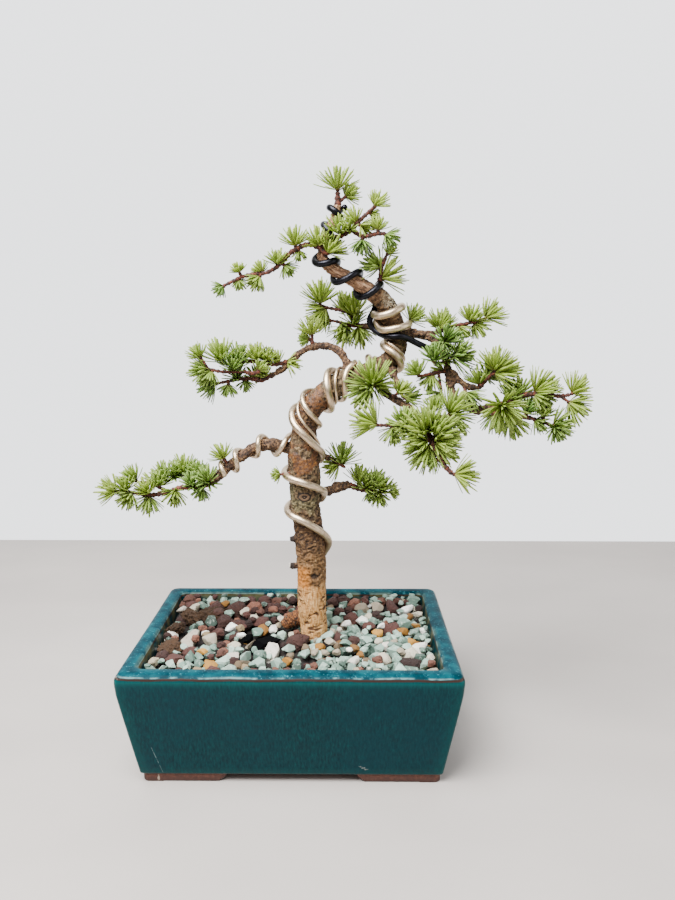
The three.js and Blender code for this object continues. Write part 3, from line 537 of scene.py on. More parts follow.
def ring(inset, height, corner):
    """A rounded rectangle, this far in from the rim's outer edge; hand-pressed walls dip a little."""
    wide, deep = HALF_WIDTH - inset - corner, HALF_DEPTH - inset - corner
    places = []
    for quarter, (x, y, steps) in enumerate(QUARTERS):
        turns = (quarter + np.linspace(0, 1, CORNER + 1)) * TURN / 4
        bend = np.stack([x * wide + corner * np.cos(turns), y * deep + corner * np.sin(turns)], 1)
        after = QUARTERS[(quarter + 1) % 4]
        following = np.array([after[0] * wide, after[1] * deep])
        following = following + corner * np.array([np.cos(turns[-1]), np.sin(turns[-1])])
        run = bend[-1] + (following - bend[-1]) * (np.arange(1, steps) / steps)[:, None]
        places += [bend, run]
    flat = np.vstack(places)
    rise = np.clip((height - UNDER) / 60, 0, 1)
    dip = DIP * np.sin(np.pi * np.clip((flat[:, 0] + wide) / (2 * wide), 0, 1)) * np.sin(np.pi * rise)
    dip += PRESSED * (1 + np.sin(flat[:, 0] * 0.06 + flat[:, 1] * 0.043 + height * 0.05)) * rise
    flat[:, 1] -= np.sign(flat[:, 1]) * dip
    flat[:, 0] -= np.sign(flat[:, 0]) * PRESSED_END * (1 + np.sin(flat[:, 1] * 0.05 + 1.3)) * rise
    return np.column_stack([flat, np.full(len(flat), float(height))])


corners = [
    float(np.interp(height, [RIM_STARTS, RIM_ROUND], [CORNER_WALL, CORNER_RIM])) for _, height in OUTSIDE
]
outside = [ring(inset, height, corner) for (inset, height), corner in zip(OUTSIDE, corners)]
inside = [ring(inset, height, CORNER_IN) for inset, height in INSIDE]
pot_shape = skin(np.array(outside + inside))
print("pot body:", len(pot_shape[1]), "triangles")

# %% Feet and drain holes
FOOT = {"x": 88.8, "y": 58.8, "along": 51, "deep": 36, "bar": 13, "slant": 5, "top": 6.4, "edge": 0.7}
FOOT_CORNER = 3.4
DRAIN_X, DRAIN_RADIUS = 46, 9
DRAIN_LOW, DRAIN_HIGH = -2, 30  # the cutter passes right through the floor


def column(outline, low, high):
    """An upright prism on an outline of (x, y)."""
    outline = np.asarray(outline, float)
    return skin(np.array([np.column_stack([outline, np.full(len(outline), z)]) for z in (low, high)]))


def rail(length):
    """One bar of a foot along +X, rounded where it meets the corner, its free end slanting back."""
    wide, edge, top, slant = FOOT["bar"], FOOT["edge"], FOOT["top"], FOOT["slant"]
    turns = np.linspace(0.02, 1, 7) * TURN / 4
    bends = FOOT_CORNER * (1 - np.stack([np.cos(turns), np.sin(turns)], 1))
    stations = [(x, back, 0) for x, back in bends]
    stations += [
        (length - slant - 2, 0, 0), (length - slant - 0.6, 0, 0.15), (length - slant, 0, 0.6),
        (length - slant * 0.35, 0, top * 0.52), (length, 0, top - 0.2),
    ]
    rings = []
    for x, back, low in stations:
        back = min(back, wide - 2 * edge - 0.4)
        rings.append([
            (x, -back, top), (x, -back, low + edge), (x, -back - edge * 0.3, low + edge * 0.3),
            (x, -back - edge, low), (x, edge - wide, low), (x, -wide, low + edge), (x, -wide, top),
        ])
    rings[-1] = [(x, y, top - 0.1 * (i % 2)) for i, (x, y, _) in enumerate(rings[-1])]
    rings = np.array(rings, float)
    rings[..., 2] = np.minimum(rings[..., 2], top)
    return skin(rings)


def turned(shape, matrix, shift=(0, 0, 0)):
    """A shape turned or mirrored by a 3 x 3 matrix, faces kept outward, then shifted."""
    points, triangles = shape
    matrix = np.array(matrix, float)
    flip = np.linalg.det(matrix) < 0
    return points @ matrix.T + shift, triangles[:, ::-1] if flip else triangles


def hidden_tool(name, shape):
    """A mesh used to cut or add, then deleted."""
    return mesh_object(name, *shape, [])


tools = {"UNION": [], "DIFFERENCE": []}
SWAP = [[0, -1, 0], [-1, 0, 0], [0, 0, 1]]  # the bar along X becomes the bar along -Y
for side in (-1, 1):
    for end in (-1, 1):
        corner = (side * FOOT["x"], end * FOOT["y"], 0)
        mirror = np.diag([-side, end, 1])
        long_bar = turned(rail(FOOT["along"]), mirror, corner)
        short_bar = turned(turned(rail(FOOT["deep"]), SWAP), mirror, corner)
        tools["UNION"] += [hidden_tool("foot_long", long_bar), hidden_tool("foot_short", short_bar)]
    angles = np.arange(32) / 32 * TURN
    circle = DRAIN_RADIUS * np.column_stack([np.cos(angles), np.sin(angles)]) + [side * DRAIN_X, 0]
    tools["DIFFERENCE"].append(hidden_tool("drain", column(circle, DRAIN_LOW, DRAIN_HIGH)))
print("bars of the feet:", len(tools["UNION"]), "- drain holes:", len(tools["DIFFERENCE"]))

# %% Joining tools


def settled(piece):
    """Replaces a piece's mesh by what its modifiers make of it."""
    deps = bpy.context.evaluated_depsgraph_get()
    deps.update()
    made = bpy.data.meshes.new_from_object(piece.evaluated_get(deps))
    piece.modifiers.clear()
    piece.data = made


def combine(piece, tools):
    """Adds or cuts away every tool, exactly, and deletes the tools."""
    for operation, shapes in tools.items():
        group = bpy.data.collections.new("tools")
        for shape in shapes:
            group.objects.link(shape)
        step = piece.modifiers.new(operation.lower(), "BOOLEAN")
        step.operand_type = "COLLECTION"
        step.collection = group
        step.operation = operation
        step.solver = "EXACT"
        step.use_self = operation == "UNION"
        settled(piece)
        for shape in shapes:
            bpy.data.objects.remove(shape)
        bpy.data.collections.remove(group)


print("joining tools ready")

# %% Patterns in the glaze
# Thick glaze over stoneware is coloured glass: a smooth, deep skin whose colour follows its thickness.
glaze, add = new_finish("teal_glaze_over_stoneware")
place = add("TexCoord")["Object"]
height = add("SeparateXYZ", {"Vector": place})["Z"]
# Streaks 1 mm wide and 4 mm long, where the melted glaze ran down.
runs_at = add("Mapping", {"Vector": place, "Scale": (900, 900, 230)})["Vector"]
runs = add("TexNoise", {"Vector": runs_at, "Scale": 1, "Detail": 4, "Roughness": 0.6})["Fac"]
# Specks of 2 mm, patches of 8 mm, waves of 17 mm, dimples of 7 mm and clouds of 6 cm.
speckle, broad, waviness, dimples, clouds = (
    add("TexNoise", {"Vector": place, "Scale": scale, "Detail": detail, "Roughness": coarse})["Fac"]
    for scale, detail, coarse in (
        (520, 4, 0.7), (120, 3, 0.5), (60, 3, 0.5), (150, 2, 0.5), (17, 2, 0.5),
    )
)
# A wavy height makes the change from wall to rim uneven.
wavy = add("Math", {0: waviness, 1: 0.0016, 2: height}, operation="MULTIPLY_ADD")["Value"]
shares = {name: add("MapRange", dict(zip(SPAN, row)))["Result"] for name, row in {
    "clouded": (clouds, 0.42, 0.68, 0, 0.5), "flecked": (speckle, 0.58, 0.72, 0, 0.45),
    "on_rim": (wavy, 0.0714, 0.0724),
    "over_break": (wavy, 0.0705, 0.0709), "under_break": (wavy, 0.0716, 0.0720, 1, 0),
    "uneven": (clouds, 0.25, 0.45, 0.6, 1.0),
    # the pale line over the break is a painted highlight
    "over_painted_highlight": (wavy, 0.0718, 0.0721), "under_painted_highlight": (wavy, 0.0723, 0.0728, 1, 0),
    "faint": (broad, 0.45, 0.6, 0, 0.4),
    "low_in_rim": (height, 0.0735, 0.0700), "blotched": (broad, 0.42, 0.62),
    "flecked_hair": (speckle, 0.4, 0.6, 0.0, 0.4),
}.items()}
print("patterns in the glaze:", ", ".join(shares))

# %% Marks on the glaze
# Chips at the front corners, partly painted highlight along the corners' edge, and a knock on the front
# wall: where, and how much larger than the least.
CHIPS_AND_HIGHLIGHTS = {
    (-98.9, -67.4, 71.4): 0.35, (-98.0, -69.0, 71.1): 0.5, (98.6, -69.0, 71.3): 0.3,
    (95.4, -69.8, 71.3): 0.0, (42.5, -61.3, 10.5): 0.2, (40.9, -61.6, 11.6): 0.1,
    (44.0, -61.1, 9.6): 0.1,
}
SQUAT = [1, 1, 1.8]  # a pale mark, chip and painted highlight alike, is wider than it is tall
marks = []
flattened = add("VectorMath", {0: place, 1: SQUAT}, operation="MULTIPLY")["Vector"]
for spot, size in CHIPS_AND_HIGHLIGHTS.items():
    middle = tuple(metres(spot) * SQUAT)
    away = add("VectorMath", {0: flattened, 1: middle}, operation="DISTANCE")["Value"]
    ragged = add("Math", {0: speckle, 1: -0.0046, 2: away}, operation="MULTIPLY_ADD")["Value"]
    pale_mark = (ragged, (size * 0.5 - 1.7) * MM, (size * 0.6 - 1.1) * MM, 0.35, 0)
    marks.append(("#a3a59e", add("MapRange", dict(zip(SPAN, pale_mark)))["Result"]))
# A hairline scratch on the front wall, from its top to its foot.
SCRATCH = [(-81.6, -63.3, 25.2), (-76.1, -60.1, 6.9)]
run = unit(np.subtract(SCRATCH[1], SCRATCH[0]) * [1, 0, 1])
top = tuple(metres(SCRATCH[0]))
from_top = add("VectorMath", {0: place, 1: top}, operation="SUBTRACT")["Vector"]
along = add("VectorMath", {0: from_top, 1: tuple(run)}, operation="DOT_PRODUCT")["Value"]
aside = add("VectorMath", {0: from_top, 1: (-run[2], 0, run[0])}, operation="DOT_PRODUCT")["Value"]
aside = add("Math", {0: aside}, operation="ABSOLUTE")["Value"]
behind = add("SeparateXYZ", {"Vector": from_top})["Y"]
hair = [add("MapRange", dict(zip(SPAN, row)))["Result"] for row in (
    (aside, 0.00008, 0.00026, 1, 0), (along, 0, 0.001), (along, 0.018, 0.02, 1, 0),
    (behind, 0.006, 0.008, 1, 0),
)]
marks.append(("#8fa8a6", *hair, shares["flecked_hair"]))
print("marks on the glaze:", len(marks))

# %% Coats of the glaze
edge, inner = (add("Attribute", attribute_name=name)["Fac"] for name in ("edge", "inner"))
wall = add("ValToRGB", {"Fac": runs}, stops=[
    (0.25, "#001c22"), (0.45, "#00282e"), (0.62, "#003135"), (0.85, "#003e3e"),
])["Color"]
wall = coats(add, wall, [("#002b34", shares["clouded"]), ("#0b5f58", edge, 0.4)])
# The flat of the rim is bluer and lighter, with pale flecks of half a millimetre.
rim = add("ValToRGB", {"Fac": broad}, stops=[
    (0.35, "#00262f"), (0.5, "#00343e"), (0.66, "#02464e"),
])["Color"]
rim = coats(add, rim, [("#4f9faa", shares["flecked"])])
body = coats(add, wall, [
    (rim, shares["on_rim"]),
    # Where the glaze broke over the rim's edge a brown line shows, and above it a pale line of painted
    # highlight.
    ("#2c1e1a", shares["over_break"], shares["under_break"], shares["uneven"]),
    ("#93b5b1", shares["over_painted_highlight"], shares["under_painted_highlight"], shares["faint"]),
    # Inside, hard water left a brown-green tide mark over the stones.
    ("#5c5a3c", inner, shares["low_in_rim"], shares["blotched"], 0.7),
    *marks,
])
surface = add("Bump", {"Height": dimples, "Strength": 0.15, "Distance": 0.001})["Normal"]
# Glass over clay: smooth and glossy on the wall, so it mirrors the lamps softly, duller on the rim.
roughness, mirror = (
    add("MapRange", {"Value": shares["on_rim"], "To Min": on_wall, "To Max": on_rim})["Result"]
    for on_wall, on_rim in ((0.3, 0.5), (0.1, 0.04))
)
shader = add("BsdfPrincipled", {
    "Base Color": body, "Roughness": roughness, "IOR": 1.5, "Normal": surface, "Specular IOR Level": mirror,
})["BSDF"]
add("OutputMaterial", {"Surface": shader})
print("coats laid on", glaze.name)

# %% Clay of the feet
# Fired stoneware clay is matt and gritty: a dark red-brown, lightest at the tops of its grains.
clay, add = new_finish("red_brown_stoneware_clay")
place = add("TexCoord")["Object"]
grain = add("TexNoise", {"Vector": place, "Scale": 420, "Detail": 5, "Roughness": 0.7})["Fac"]
fired = add("ValToRGB", {"Fac": grain}, stops=[
    (0.3, "#3a1a11"), (0.5, "#5d301f"), (0.62, "#73422f"), (0.76, "#8f5d46"),
])["Color"]
height = add("SeparateXYZ", {"Vector": place})["Z"]
TALL = [1.6, 1, 0.5]  # the pale knock on the left foot is taller than it is wide
KNOCK = (-79.3, -58.8, 2.6)
narrowed = add("VectorMath", {0: place, 1: TALL}, operation="MULTIPLY")["Vector"]
knock = tuple(metres(KNOCK) * TALL)
knock = add("VectorMath", {0: narrowed, 1: knock}, operation="DISTANCE")["Value"]
knock = add("Math", {0: grain, 1: -0.004, 2: knock}, operation="MULTIPLY_ADD")["Value"]
free_of_painted_shade, knocked = (add("MapRange", dict(zip(SPAN, row)))["Result"] for row in (
    (height, 0.0, 0.0045, 0.0, 0.6), (knock, -0.0014, -0.0006, 0.5, 0),
))
# Painted shade: the clay is darker towards the table, least at the top of the feet.
fired = coats(add, "#331a13", [(fired, free_of_painted_shade), ("#cdb9a4", knocked)])
rough = add("Bump", {"Height": grain, "Strength": 0.25, "Distance": 0.0004})["Normal"]
shader = add("BsdfPrincipled", {"Base Color": fired, "Roughness": 0.7, "Normal": rough})["BSDF"]
add("OutputMaterial", {"Surface": shader})
print("finishes:", glaze.name, clay.name)

# %% The pot, joined
pot = mesh_object("pot_glazed", *pot_shape, [glaze, clay])
combine(pot, tools)
shape = bmesh.new()
shape.from_mesh(pot.data)
bmesh.ops.dissolve_degenerate(shape, dist=1e-6, edges=shape.edges)
for face in shape.faces:
    face.smooth = True
    face.material_index = int(face.calc_center_median().z < (UNDER + 0.05) * MM)
shape.to_mesh(pot.data)
shape.free()
pot.data.set_sharp_from_angle(angle=math.radians(38))
corners = points_of(pot)
inset = np.interp(corners[:, 2], *np.transpose([row[::-1] for row in OUTSIDE]))
to_side = HALF_WIDTH - inset - np.abs(corners[:, 0])
to_end = HALF_DEPTH - inset - np.abs(corners[:, 1])
inner = np.minimum(to_side, to_end) > 5
# Glaze thins and lightens near the upright corners, under the rim and at the foot of the walls.
nearness = np.exp(-np.maximum(to_side, to_end) / 1.6)
for level, reach, share in ((68.5, 1.4, 0.8), (6.3, 0.8, 0.5)):
    nearness += np.exp(-np.abs(corners[:, 2] - level) / reach) * share
paint(pot, "edge", np.where(inner, 0, np.clip(nearness, 0, 1)))
paint(pot, "inner", inner)
finish_piece(pot, "pot")

# %% [markdown]
# ## Drain screens
#
# A square of coarse plastic mesh lies over each drain hole under the soil. The solids are already
# what a moulded mesh is, so they only get their plastic.

# %% Plastic of the screens
# Moulded polyethylene: near black, with the dull even sheen of the mould.
plastic = grainy("black_moulded_plastic", {"Scale": 2500, "Detail": 2}, [(0.3, "#1b1f22"), (0.7, "#2a2f33")],
                 0.55, where="Generated")
for name in ("drain_screen_left", "drain_screen_right"):
    screen = bpy.data.objects[name]
    screen.data.materials[0] = plastic
    print(name, "finished in", plastic.name)

# %% [markdown]
# ## Gravel over the soil
#
# Bonsai soil is dressed with grit: pale green zeolite, white pumice, red-brown lava and a little
# ochre clay, here with two lumps of charcoal and a few clods of dry brown moss. Crushed zeolite breaks
# into flat faces and sharp corners, so each of its stones is the tight hull of a few random points.
# Pumice and lava are rounder and full of pits: a ball cut back by random planes, then roughened. The
# stones fall one by one onto a height map of the bed, each into the lowest of a few places tried, so
# they lie on each other as poured grit does. The ones that catch the eye are listed, and set first.

# %% Balls and hulls


def ball(detail):
    """Directions and triangles of a ball of even triangles."""
    shape = bmesh.new()
    bmesh.ops.create_icosphere(shape, subdivisions=detail, radius=1)
    points = np.array([corner.co for corner in shape.verts])
    triangles = np.array([[corner.index for corner in face.verts] for face in shape.faces])
    shape.free()
    return points, triangles


def hull(points):
    """The tight skin round some points."""
    shape = bmesh.new()
    for point in points:
        shape.verts.new(point)
    bmesh.ops.convex_hull(shape, input=shape.verts)
    loose = [corner for corner in shape.verts if not corner.link_faces]
    bmesh.ops.delete(shape, geom=loose, context="VERTS")
    bmesh.ops.recalc_face_normals(shape, faces=shape.faces)
    shape.verts.index_update()
    skin_points = np.array([corner.co for corner in shape.verts])
    triangles = np.array([[corner.index for corner in face.verts] for face in shape.faces])
    shape.free()
    return skin_points, triangles


SMALL_BALL, LARGE_BALL, ROUND_BALL = ball(2), ball(3), ball(4)
print("balls of", *(len(triangles) for _, triangles in (SMALL_BALL, LARGE_BALL, ROUND_BALL)), "triangles")

# %% One stone
STONES = {  # corners or cutting planes, how near they cut, thickness to length, pits in mm
    "zeolite": (15, 0.86, (0.55, 0.85), 0),
    "pumice": (18, 0.78, (0.62, 0.9), 0.3),
    "lava": (26, 0.84, (0.72, 0.95), 0.8),
    "ochre": (16, 0.75, (0.6, 0.85), 0.25),
    "charcoal": (13, 0.86, (0.55, 0.7), 0),
    "moss": (24, 0.8, (0.55, 0.7), 2.4),
}
LARGE, MIDDLING = 12, 5.5  # mm, from which a stone gets a finer ball
FLAT_CUTS = 16  # the higher, the sharper the edges between two cuts


def stone(kind, size, dice):
    """A broken stone of this length, in millimetres, lying a little tilted."""
    cuts, nearest, thickness, pits = STONES[kind]
    if pits == 0:
        corners = unit(dice.normal(size=(cuts, 3))) * dice.uniform(nearest, 1, (cuts, 1))
        points, triangles = hull(corners)
    else:
        points, triangles = ROUND_BALL if size > LARGE else LARGE_BALL if size > MIDDLING else SMALL_BALL
        normals = unit(dice.normal(size=(cuts, 3)))
        facing = np.maximum(points @ normals.T, 0.05) / dice.uniform(nearest, 1, cuts)
        points = points * ((facing ** FLAT_CUTS).sum(1) ** (-1 / FLAT_CUTS))[:, None]
    thick = dice.uniform(*thickness)
    points = points * [1, dice.uniform(thick, 1), thick] * size / 2
    if pits:
        seed = Vector(dice.uniform(-99, 99, 3))
        rough = [noise.noise(Vector(point) * 0.75 + seed) + 0.6 * noise.noise(Vector(point) * 1.7 + seed)
                 for point in points]
        points = points * (1 + np.array(rough) * pits * 2 / size)[:, None]
    tilt, spin = dice.normal(0, 0.35), dice.uniform(0, TURN)
    lean = np.array([[1, 0, 0], [0, np.cos(tilt), -np.sin(tilt)], [0, np.sin(tilt), np.cos(tilt)]])
    swing = np.array([[np.cos(spin), -np.sin(spin), 0], [np.sin(spin), np.cos(spin), 0], [0, 0, 1]])
    return points @ (swing @ lean).T, triangles


print("kinds of stone:", ", ".join(STONES))

# %% Height map of the bed
CELL = 1.0  # mm
BED = 62.0  # height of the soil under the loose stones
MAP_WIDE, MAP_DEEP = 96, 66  # mm from the middle to the map's edges


def heap(x, y):
    """How much higher the gravel lies here: heaped a little round the trunk and at the back."""
    back = np.clip(y / 50, 0, 1)
    return 2.6 * np.exp(-((x - 8) / 32) ** 2 - ((y + 4) / 24) ** 2) + 2.2 * back * back * (3 - 2 * back)


grid_x = np.arange(-MAP_WIDE, MAP_WIDE + CELL / 2, CELL)
grid_y = np.arange(-MAP_DEEP, MAP_DEEP + CELL / 2, CELL)
ground = BED + heap(grid_x[:, None], grid_y[None, :])
grown = gathered([bars_of(*LIMBS["trunk"]), bars_of(*LIMBS["rootKnob"])])


def inner_wall(height):
    """How far the pot's inner wall stands in from the rim's outer edge at a height."""
    return float(np.interp(height, [FLOOR_TOP, RIM_TOP], [18, 11.4]))


REACH = 0.74  # of a stone's longest reach is the radius of the disc it rests on
NOWHERE = -1e3  # mm, for cells that the stone doesn't cover


def fall(x, y, points, sink, rest=None):
    """Height at which a stone dropped here comes to rest, and its top over the cells under it."""
    radius = np.hypot(points[:, 0], points[:, 1]).max() * REACH
    i = slice(*np.searchsorted(grid_x, [x - radius, x + radius]))
    j = slice(*np.searchsorted(grid_y, [y - radius, y + radius]))
    away = ((grid_x[i, None] - x) ** 2 + (grid_y[None, j] - y) ** 2) / radius ** 2
    dome = np.sqrt(np.maximum(1 - away, 0))
    low, high = -points[:, 2].min(), points[:, 2].max()
    if rest is None:
        rest = np.where(away < 1, ground[i, j] + low * dome, NOWHERE).max() - sink * low
    return rest, (i, j), np.where(away < 1, rest + high * dome, NOWHERE)


print("cells of the bed:", ground.size)

# %% Stones set from a list
# Each is [x, y, length]. The length is that of the face that shows; the stone is a quarter longer.
SET_BY_HAND = {
    "charcoal": [[-18, -19, 21], [-30, -15, 9]],
    "moss": [[-62, 32, 25], [-75, 24, 15], [-79, -22, 16], [-83, 2, 10]],
    "lava": [
        [-65, -26, 9], [-73, -37, 9], [-81, -32, 8], [-78, 23, 8], [-45, 37, 12], [-51, 19, 11],
        [66, 39, 9], [64, 8, 11], [71, -41, 12], [28, 31, 7], [-33, 41, 11], [-40, 14, 10],
        [-25, 17, 9], [-58, 30, 9], [48, 7, 8], [-60, 41, 11], [12, -53, 6], [-81, 18, 7], [1, -15, 12],
        [-84, 44, 13],
    ],
    "pumice": [
        [-89, -3, 8], [-70, -6, 10], [-55, -12, 11], [-45, 9, 8], [-78, 34, 7], [-82, 31, 5],
        [32, 14, 8], [23, -4, 9], [-14, -25, 10], [21, 40, 7], [44, 17, 8], [78, -21, 8], [58, -18, 7],
        [73, -29, 9], [56, -36, 8], [-28, -14, 7], [-84, -41, 5], [55, 40, 7], [-39, 30, 6],
        [76, 38, 8],
    ],
    "zeolite": [
        [-82, 10, 8], [-65, -48, 7], [-42, -40, 9], [-36, -51, 9], [-56, -25, 9], [26, 16, 7],
        [33, -3, 9], [-4, -23, 9], [74, 21, 14], [79, 1, 9], [69, -18, 10], [80, -42, 10], [63, -45, 9],
        [-29, -33, 8], [-20, -41, 9], [-9, -44, 9], [7, -32, 9], [18, -42, 10], [32, -26, 9],
        [45, -13, 9], [48, -46, 10], [36, -50, 8], [62, 21, 8], [31, 43, 7], [-12, 43, 7], [3, -49, 8],
        [-49, 28, 7],
    ],
    "ochre": [
        [-54, 42, 5], [77, 21, 6], [70, 1, 6], [75, -10, 6], [79, -17, 6], [16, -22, 6], [-48, -46, 9],
        [41, -33, 5], [27, -16, 6], [54, -3, 5], [-23, 4, 8],
    ],
}
LONGER = 1.25
TOP_OF_STONES = 70.0  # mm, where the tops of the listed ones lie
PROUD = {"charcoal": 1.8, "moss": 2.6}  # mm more for the kinds that stand out
HIGHEST = 71.4  # mm, above which no poured stone may stand
FROM_WALL, FROM_WOOD = 0.3, 0.25  # mm of room kept
dice = new_dice(20418)
laid = {kind: [] for kind in STONES}
tints = {kind: [] for kind in STONES}


def lay(kind, x, y, shape, sink=0, rest=None):
    """Lays one stone, unless it would stand in the trunk or is a poured one that stands too high."""
    poured = rest is None
    room = np.array([HALF_WIDTH, HALF_DEPTH]) - inner_wall(BED) - FROM_WALL
    low, high = shape[0][:, :2].min(0), shape[0][:, :2].max(0)
    x, y = np.clip([x, y], -room - low, room - high)
    rest, cells, top = fall(x, y, shape[0], sink, rest)
    points = shape[0] + [x, y, rest]
    too_high = poured and points[:, 2].max() > HIGHEST + heap(x, y)
    if too_high or clearance(points[::5], grown)[0].min() < FROM_WOOD:
        return
    ground[cells] = np.maximum(ground[cells], top)
    laid[kind].append((points, shape[1]))
    tints[kind].append(np.full(len(points), dice.uniform()))


for kind, rows in SET_BY_HAND.items():
    for x, y, size in rows:
        pebble = stone(kind, size * LONGER, dice)
        top = TOP_OF_STONES + heap(x, y) + dice.normal(0, 0.7) + PROUD.get(kind, 0)
        lay(kind, x, y, pebble, rest=top - pebble[0][:, 2].max())
print("set by hand:", {kind: len(shapes) for kind, shapes in laid.items()})

# %% Poured stones
# Coarse stones first, then finer ones that only fill the hollows: how many are tried, the least size,
# how much larger they come, and how far over the soil the lowest place may lie, all in mm.
POURED = {"coarse": (800, 9.0, 5.5, 99), "fine": (1300, 5.0, 3.0, 2.4)}
POUR_WIDE, POUR_DEEP = 88, 58  # mm from the middle
TRIES = 7  # places looked at for each stone, of which it takes the lowest
SINK = 0.3  # of its own depth, since broken stones settle between each other


def kind_at(x, y, dice):
    """Lava lies thickest at the left and back, zeolite at the right and front."""
    drift = (x / 90 - y / 60) * 0.5 + dice.normal(0, 0.6)
    if dice.uniform() < 0.03:
        return "ochre"
    if drift > 0.1:
        return "zeolite" if dice.uniform() < 0.65 else "pumice"
    if drift > -0.3:
        return "pumice" if dice.uniform() < 0.45 else "lava"
    return "lava" if dice.uniform() < 0.85 else "zeolite"


for tried, least, spread, full in POURED.values():
    for _ in range(tried):
        tries = np.column_stack([dice.uniform(-side, side, TRIES) for side in (POUR_WIDE, POUR_DEEP)])
        cells = (np.searchsorted(grid_x, tries[:, 0]), np.searchsorted(grid_y, tries[:, 1]))
        levels = ground[cells] - heap(*tries.T) - BED
        x, y = tries[levels.argmin()]
        if levels.min() > full:
            continue
        kind = kind_at(x, y, dice)
        lay(kind, x, y, stone(kind, least + spread * dice.beta(1.4, 2.2), dice), SINK)
print("stones in all:", {kind: len(shapes) for kind, shapes in laid.items()})

# %% [markdown]
# ## Finishes of the stones
#
# Every stone keeps one random number, and the finish of its kind turns that into its own tone, so no
# two neighbours match. Over it lies what the rock itself shows: pits in lava and pumice, a mottled
# bloom on zeolite. The pattern of the smallest pits is a little coarser than life, about half a
# millimetre, or it would vanish at this distance.

# %% Stone finishes
# Tones from stone to stone, mottling colour and where it starts, roughness, IOR, pits and their depth.
# Charcoal is full of pores, so hardly any light comes back from its skin: an IOR near that of air.
ROCKS = {
    "zeolite": (["#33463c", "#688375", "#9cb3a5", "#4c6358"], "#bfcabc", 0.54, 0.7, 1.48, 900, 0.4),
    "pumice": (["#5f4e38", "#c4bda9", "#7e6b4d", "#f6f4ec"], "#6b5d46", 0.55, 0.85, 1.5, 1300, 0.7),
    "lava": (["#200d08", "#4a2a23", "#301812", "#744a3a"], "#0e0503", 0.54, 0.9, 1.5, 1100, 1.0),
    "ochre": (["#63400d", "#936214", "#462a0e", "#a9792c"], "#41260c", 0.55, 0.8, 1.5, 1200, 0.6),
    "charcoal": (["#020202", "#030303", "#020202", "#040405"], "#0b0b0d", 0.62, 0.9, 1.12, 900, 0.4),
    "moss": (["#20120a", "#302015", "#281a0f", "#3e2b1b"], "#0d0704", 0.5, 0.95, 1.4, 1500, 1.0),
}


TONES_AT = (0.1, 0.38, 0.62, 0.92)  # shares of the stones
SOFT_EDGE = 0.22  # of the mottling


def rock(kind, tones, mottle, share, roughness, ior, scale, depth):
    """Crushed rock: one tone a stone, mottled and pitted."""
    finish, add = new_finish("crushed_" + kind)
    tint = add("Attribute", attribute_name="tint")["Fac"]
    place = add("TexCoord")["Object"]
    base = add("ValToRGB", {"Fac": tint}, stops=list(zip(TONES_AT, tones)))["Color"]
    cloud = add("TexNoise", {"Vector": place, "Scale": 420, "Detail": 5, "Roughness": 0.7})["Fac"]
    patch = add("MapRange", dict(zip(SPAN, (cloud, share, share + SOFT_EDGE))))["Result"]
    tone = coats(add, base, [(mottle, patch)])
    pits = add("TexNoise", {"Vector": place, "Scale": scale, "Detail": 3, "Roughness": 0.8})["Fac"]
    relief = add("Bump", {"Height": pits, "Strength": depth, "Distance": 0.0005})["Normal"]
    shader = add("BsdfPrincipled", {
        "Base Color": tone, "Roughness": roughness, "IOR": ior, "Normal": relief,
    })["BSDF"]
    add("OutputMaterial", {"Surface": shader})
    return finish


for kind, shapes in laid.items():
    pile = mesh_object("gravel_" + kind, *merged(shapes), [rock(kind, *ROCKS[kind])])
    paint(pile, "tint", np.concatenate(tints[kind]))
    pile.data.set_sharp_from_angle(angle=math.radians(20))
    finish_piece(pile, "soil_and_gravel")

# %% [markdown]
# ## The soil under the stones
#
# Dark, damp soil shows only as the shadowed gaps between stones. It is one block that fills the pot
# from the screens up, with an uneven top.

# %% Soil
SOIL_LOW = 14.1  # mm, on the drain screens
COLUMNS, ROWS = 120, 84  # points of its top
SKIN_GAP = 0.4  # mm between soil and pot
CRUMB_HIGH = 1.6  # mm
grids = np.meshgrid(np.linspace(-1, 1, COLUMNS), np.linspace(-1, 1, ROWS), indexing="ij")
across, along = (grid.ravel() for grid in grids)
edge = inner_wall(BED) + SKIN_GAP
crumbs = np.array([noise.noise(Vector((u * 31, v * 22, 4.2))) for u, v in zip(across, along)])
top_x, top_y = across * (HALF_WIDTH - edge), along * (HALF_DEPTH - edge)
top_z = BED + 1.0 + heap(top_x, top_y) + crumbs * CRUMB_HIGH
number = np.arange(COLUMNS * ROWS).reshape(COLUMNS, ROWS)
loop = np.concatenate([number[0], number[1:, -1], number[-1, -2::-1], number[-2:0:-1, 0]])
first = number[:-1, :-1]
top_faces = np.concatenate([
    np.stack([first, first + ROWS, first + ROWS + 1], -1).reshape(-1, 3),
    np.stack([first, first + ROWS + 1, first + 1], -1).reshape(-1, 3),
])
shrunk = (HALF_WIDTH - inner_wall(SOIL_LOW) - SKIN_GAP) / (HALF_WIDTH - edge)
rim_points = np.column_stack([top_x[loop] * shrunk, top_y[loop] * shrunk, np.full(len(loop), SOIL_LOW)])
soil_points = np.vstack([np.column_stack([top_x, top_y, top_z]), rim_points, [[0, 0, SOIL_LOW]]])
low = len(top_x) + np.arange(len(loop))
beside, low_beside = np.roll(loop, -1), np.roll(low, -1)
hub = np.full(len(loop), len(soil_points) - 1)
soil_faces = np.concatenate([
    top_faces, np.stack([loop, beside, low_beside], 1), np.stack([loop, low_beside, low], 1),
    np.stack([low, low_beside, hub], 1),
])
# Damp soil drinks light: nearly black crumbs without any shine.
earth = grainy("dark_damp_soil", {"Scale": 700, "Detail": 5, "Roughness": 0.75}, [
    (0.35, "#0a0604"), (0.55, "#160e0a"), (0.75, "#2e2017"),
], 0.95, relief=(0.8, 0.0008))
soil = mesh_object("soil_block", soil_points, soil_faces, [earth])
finish_piece(soil, "soil_and_gravel")

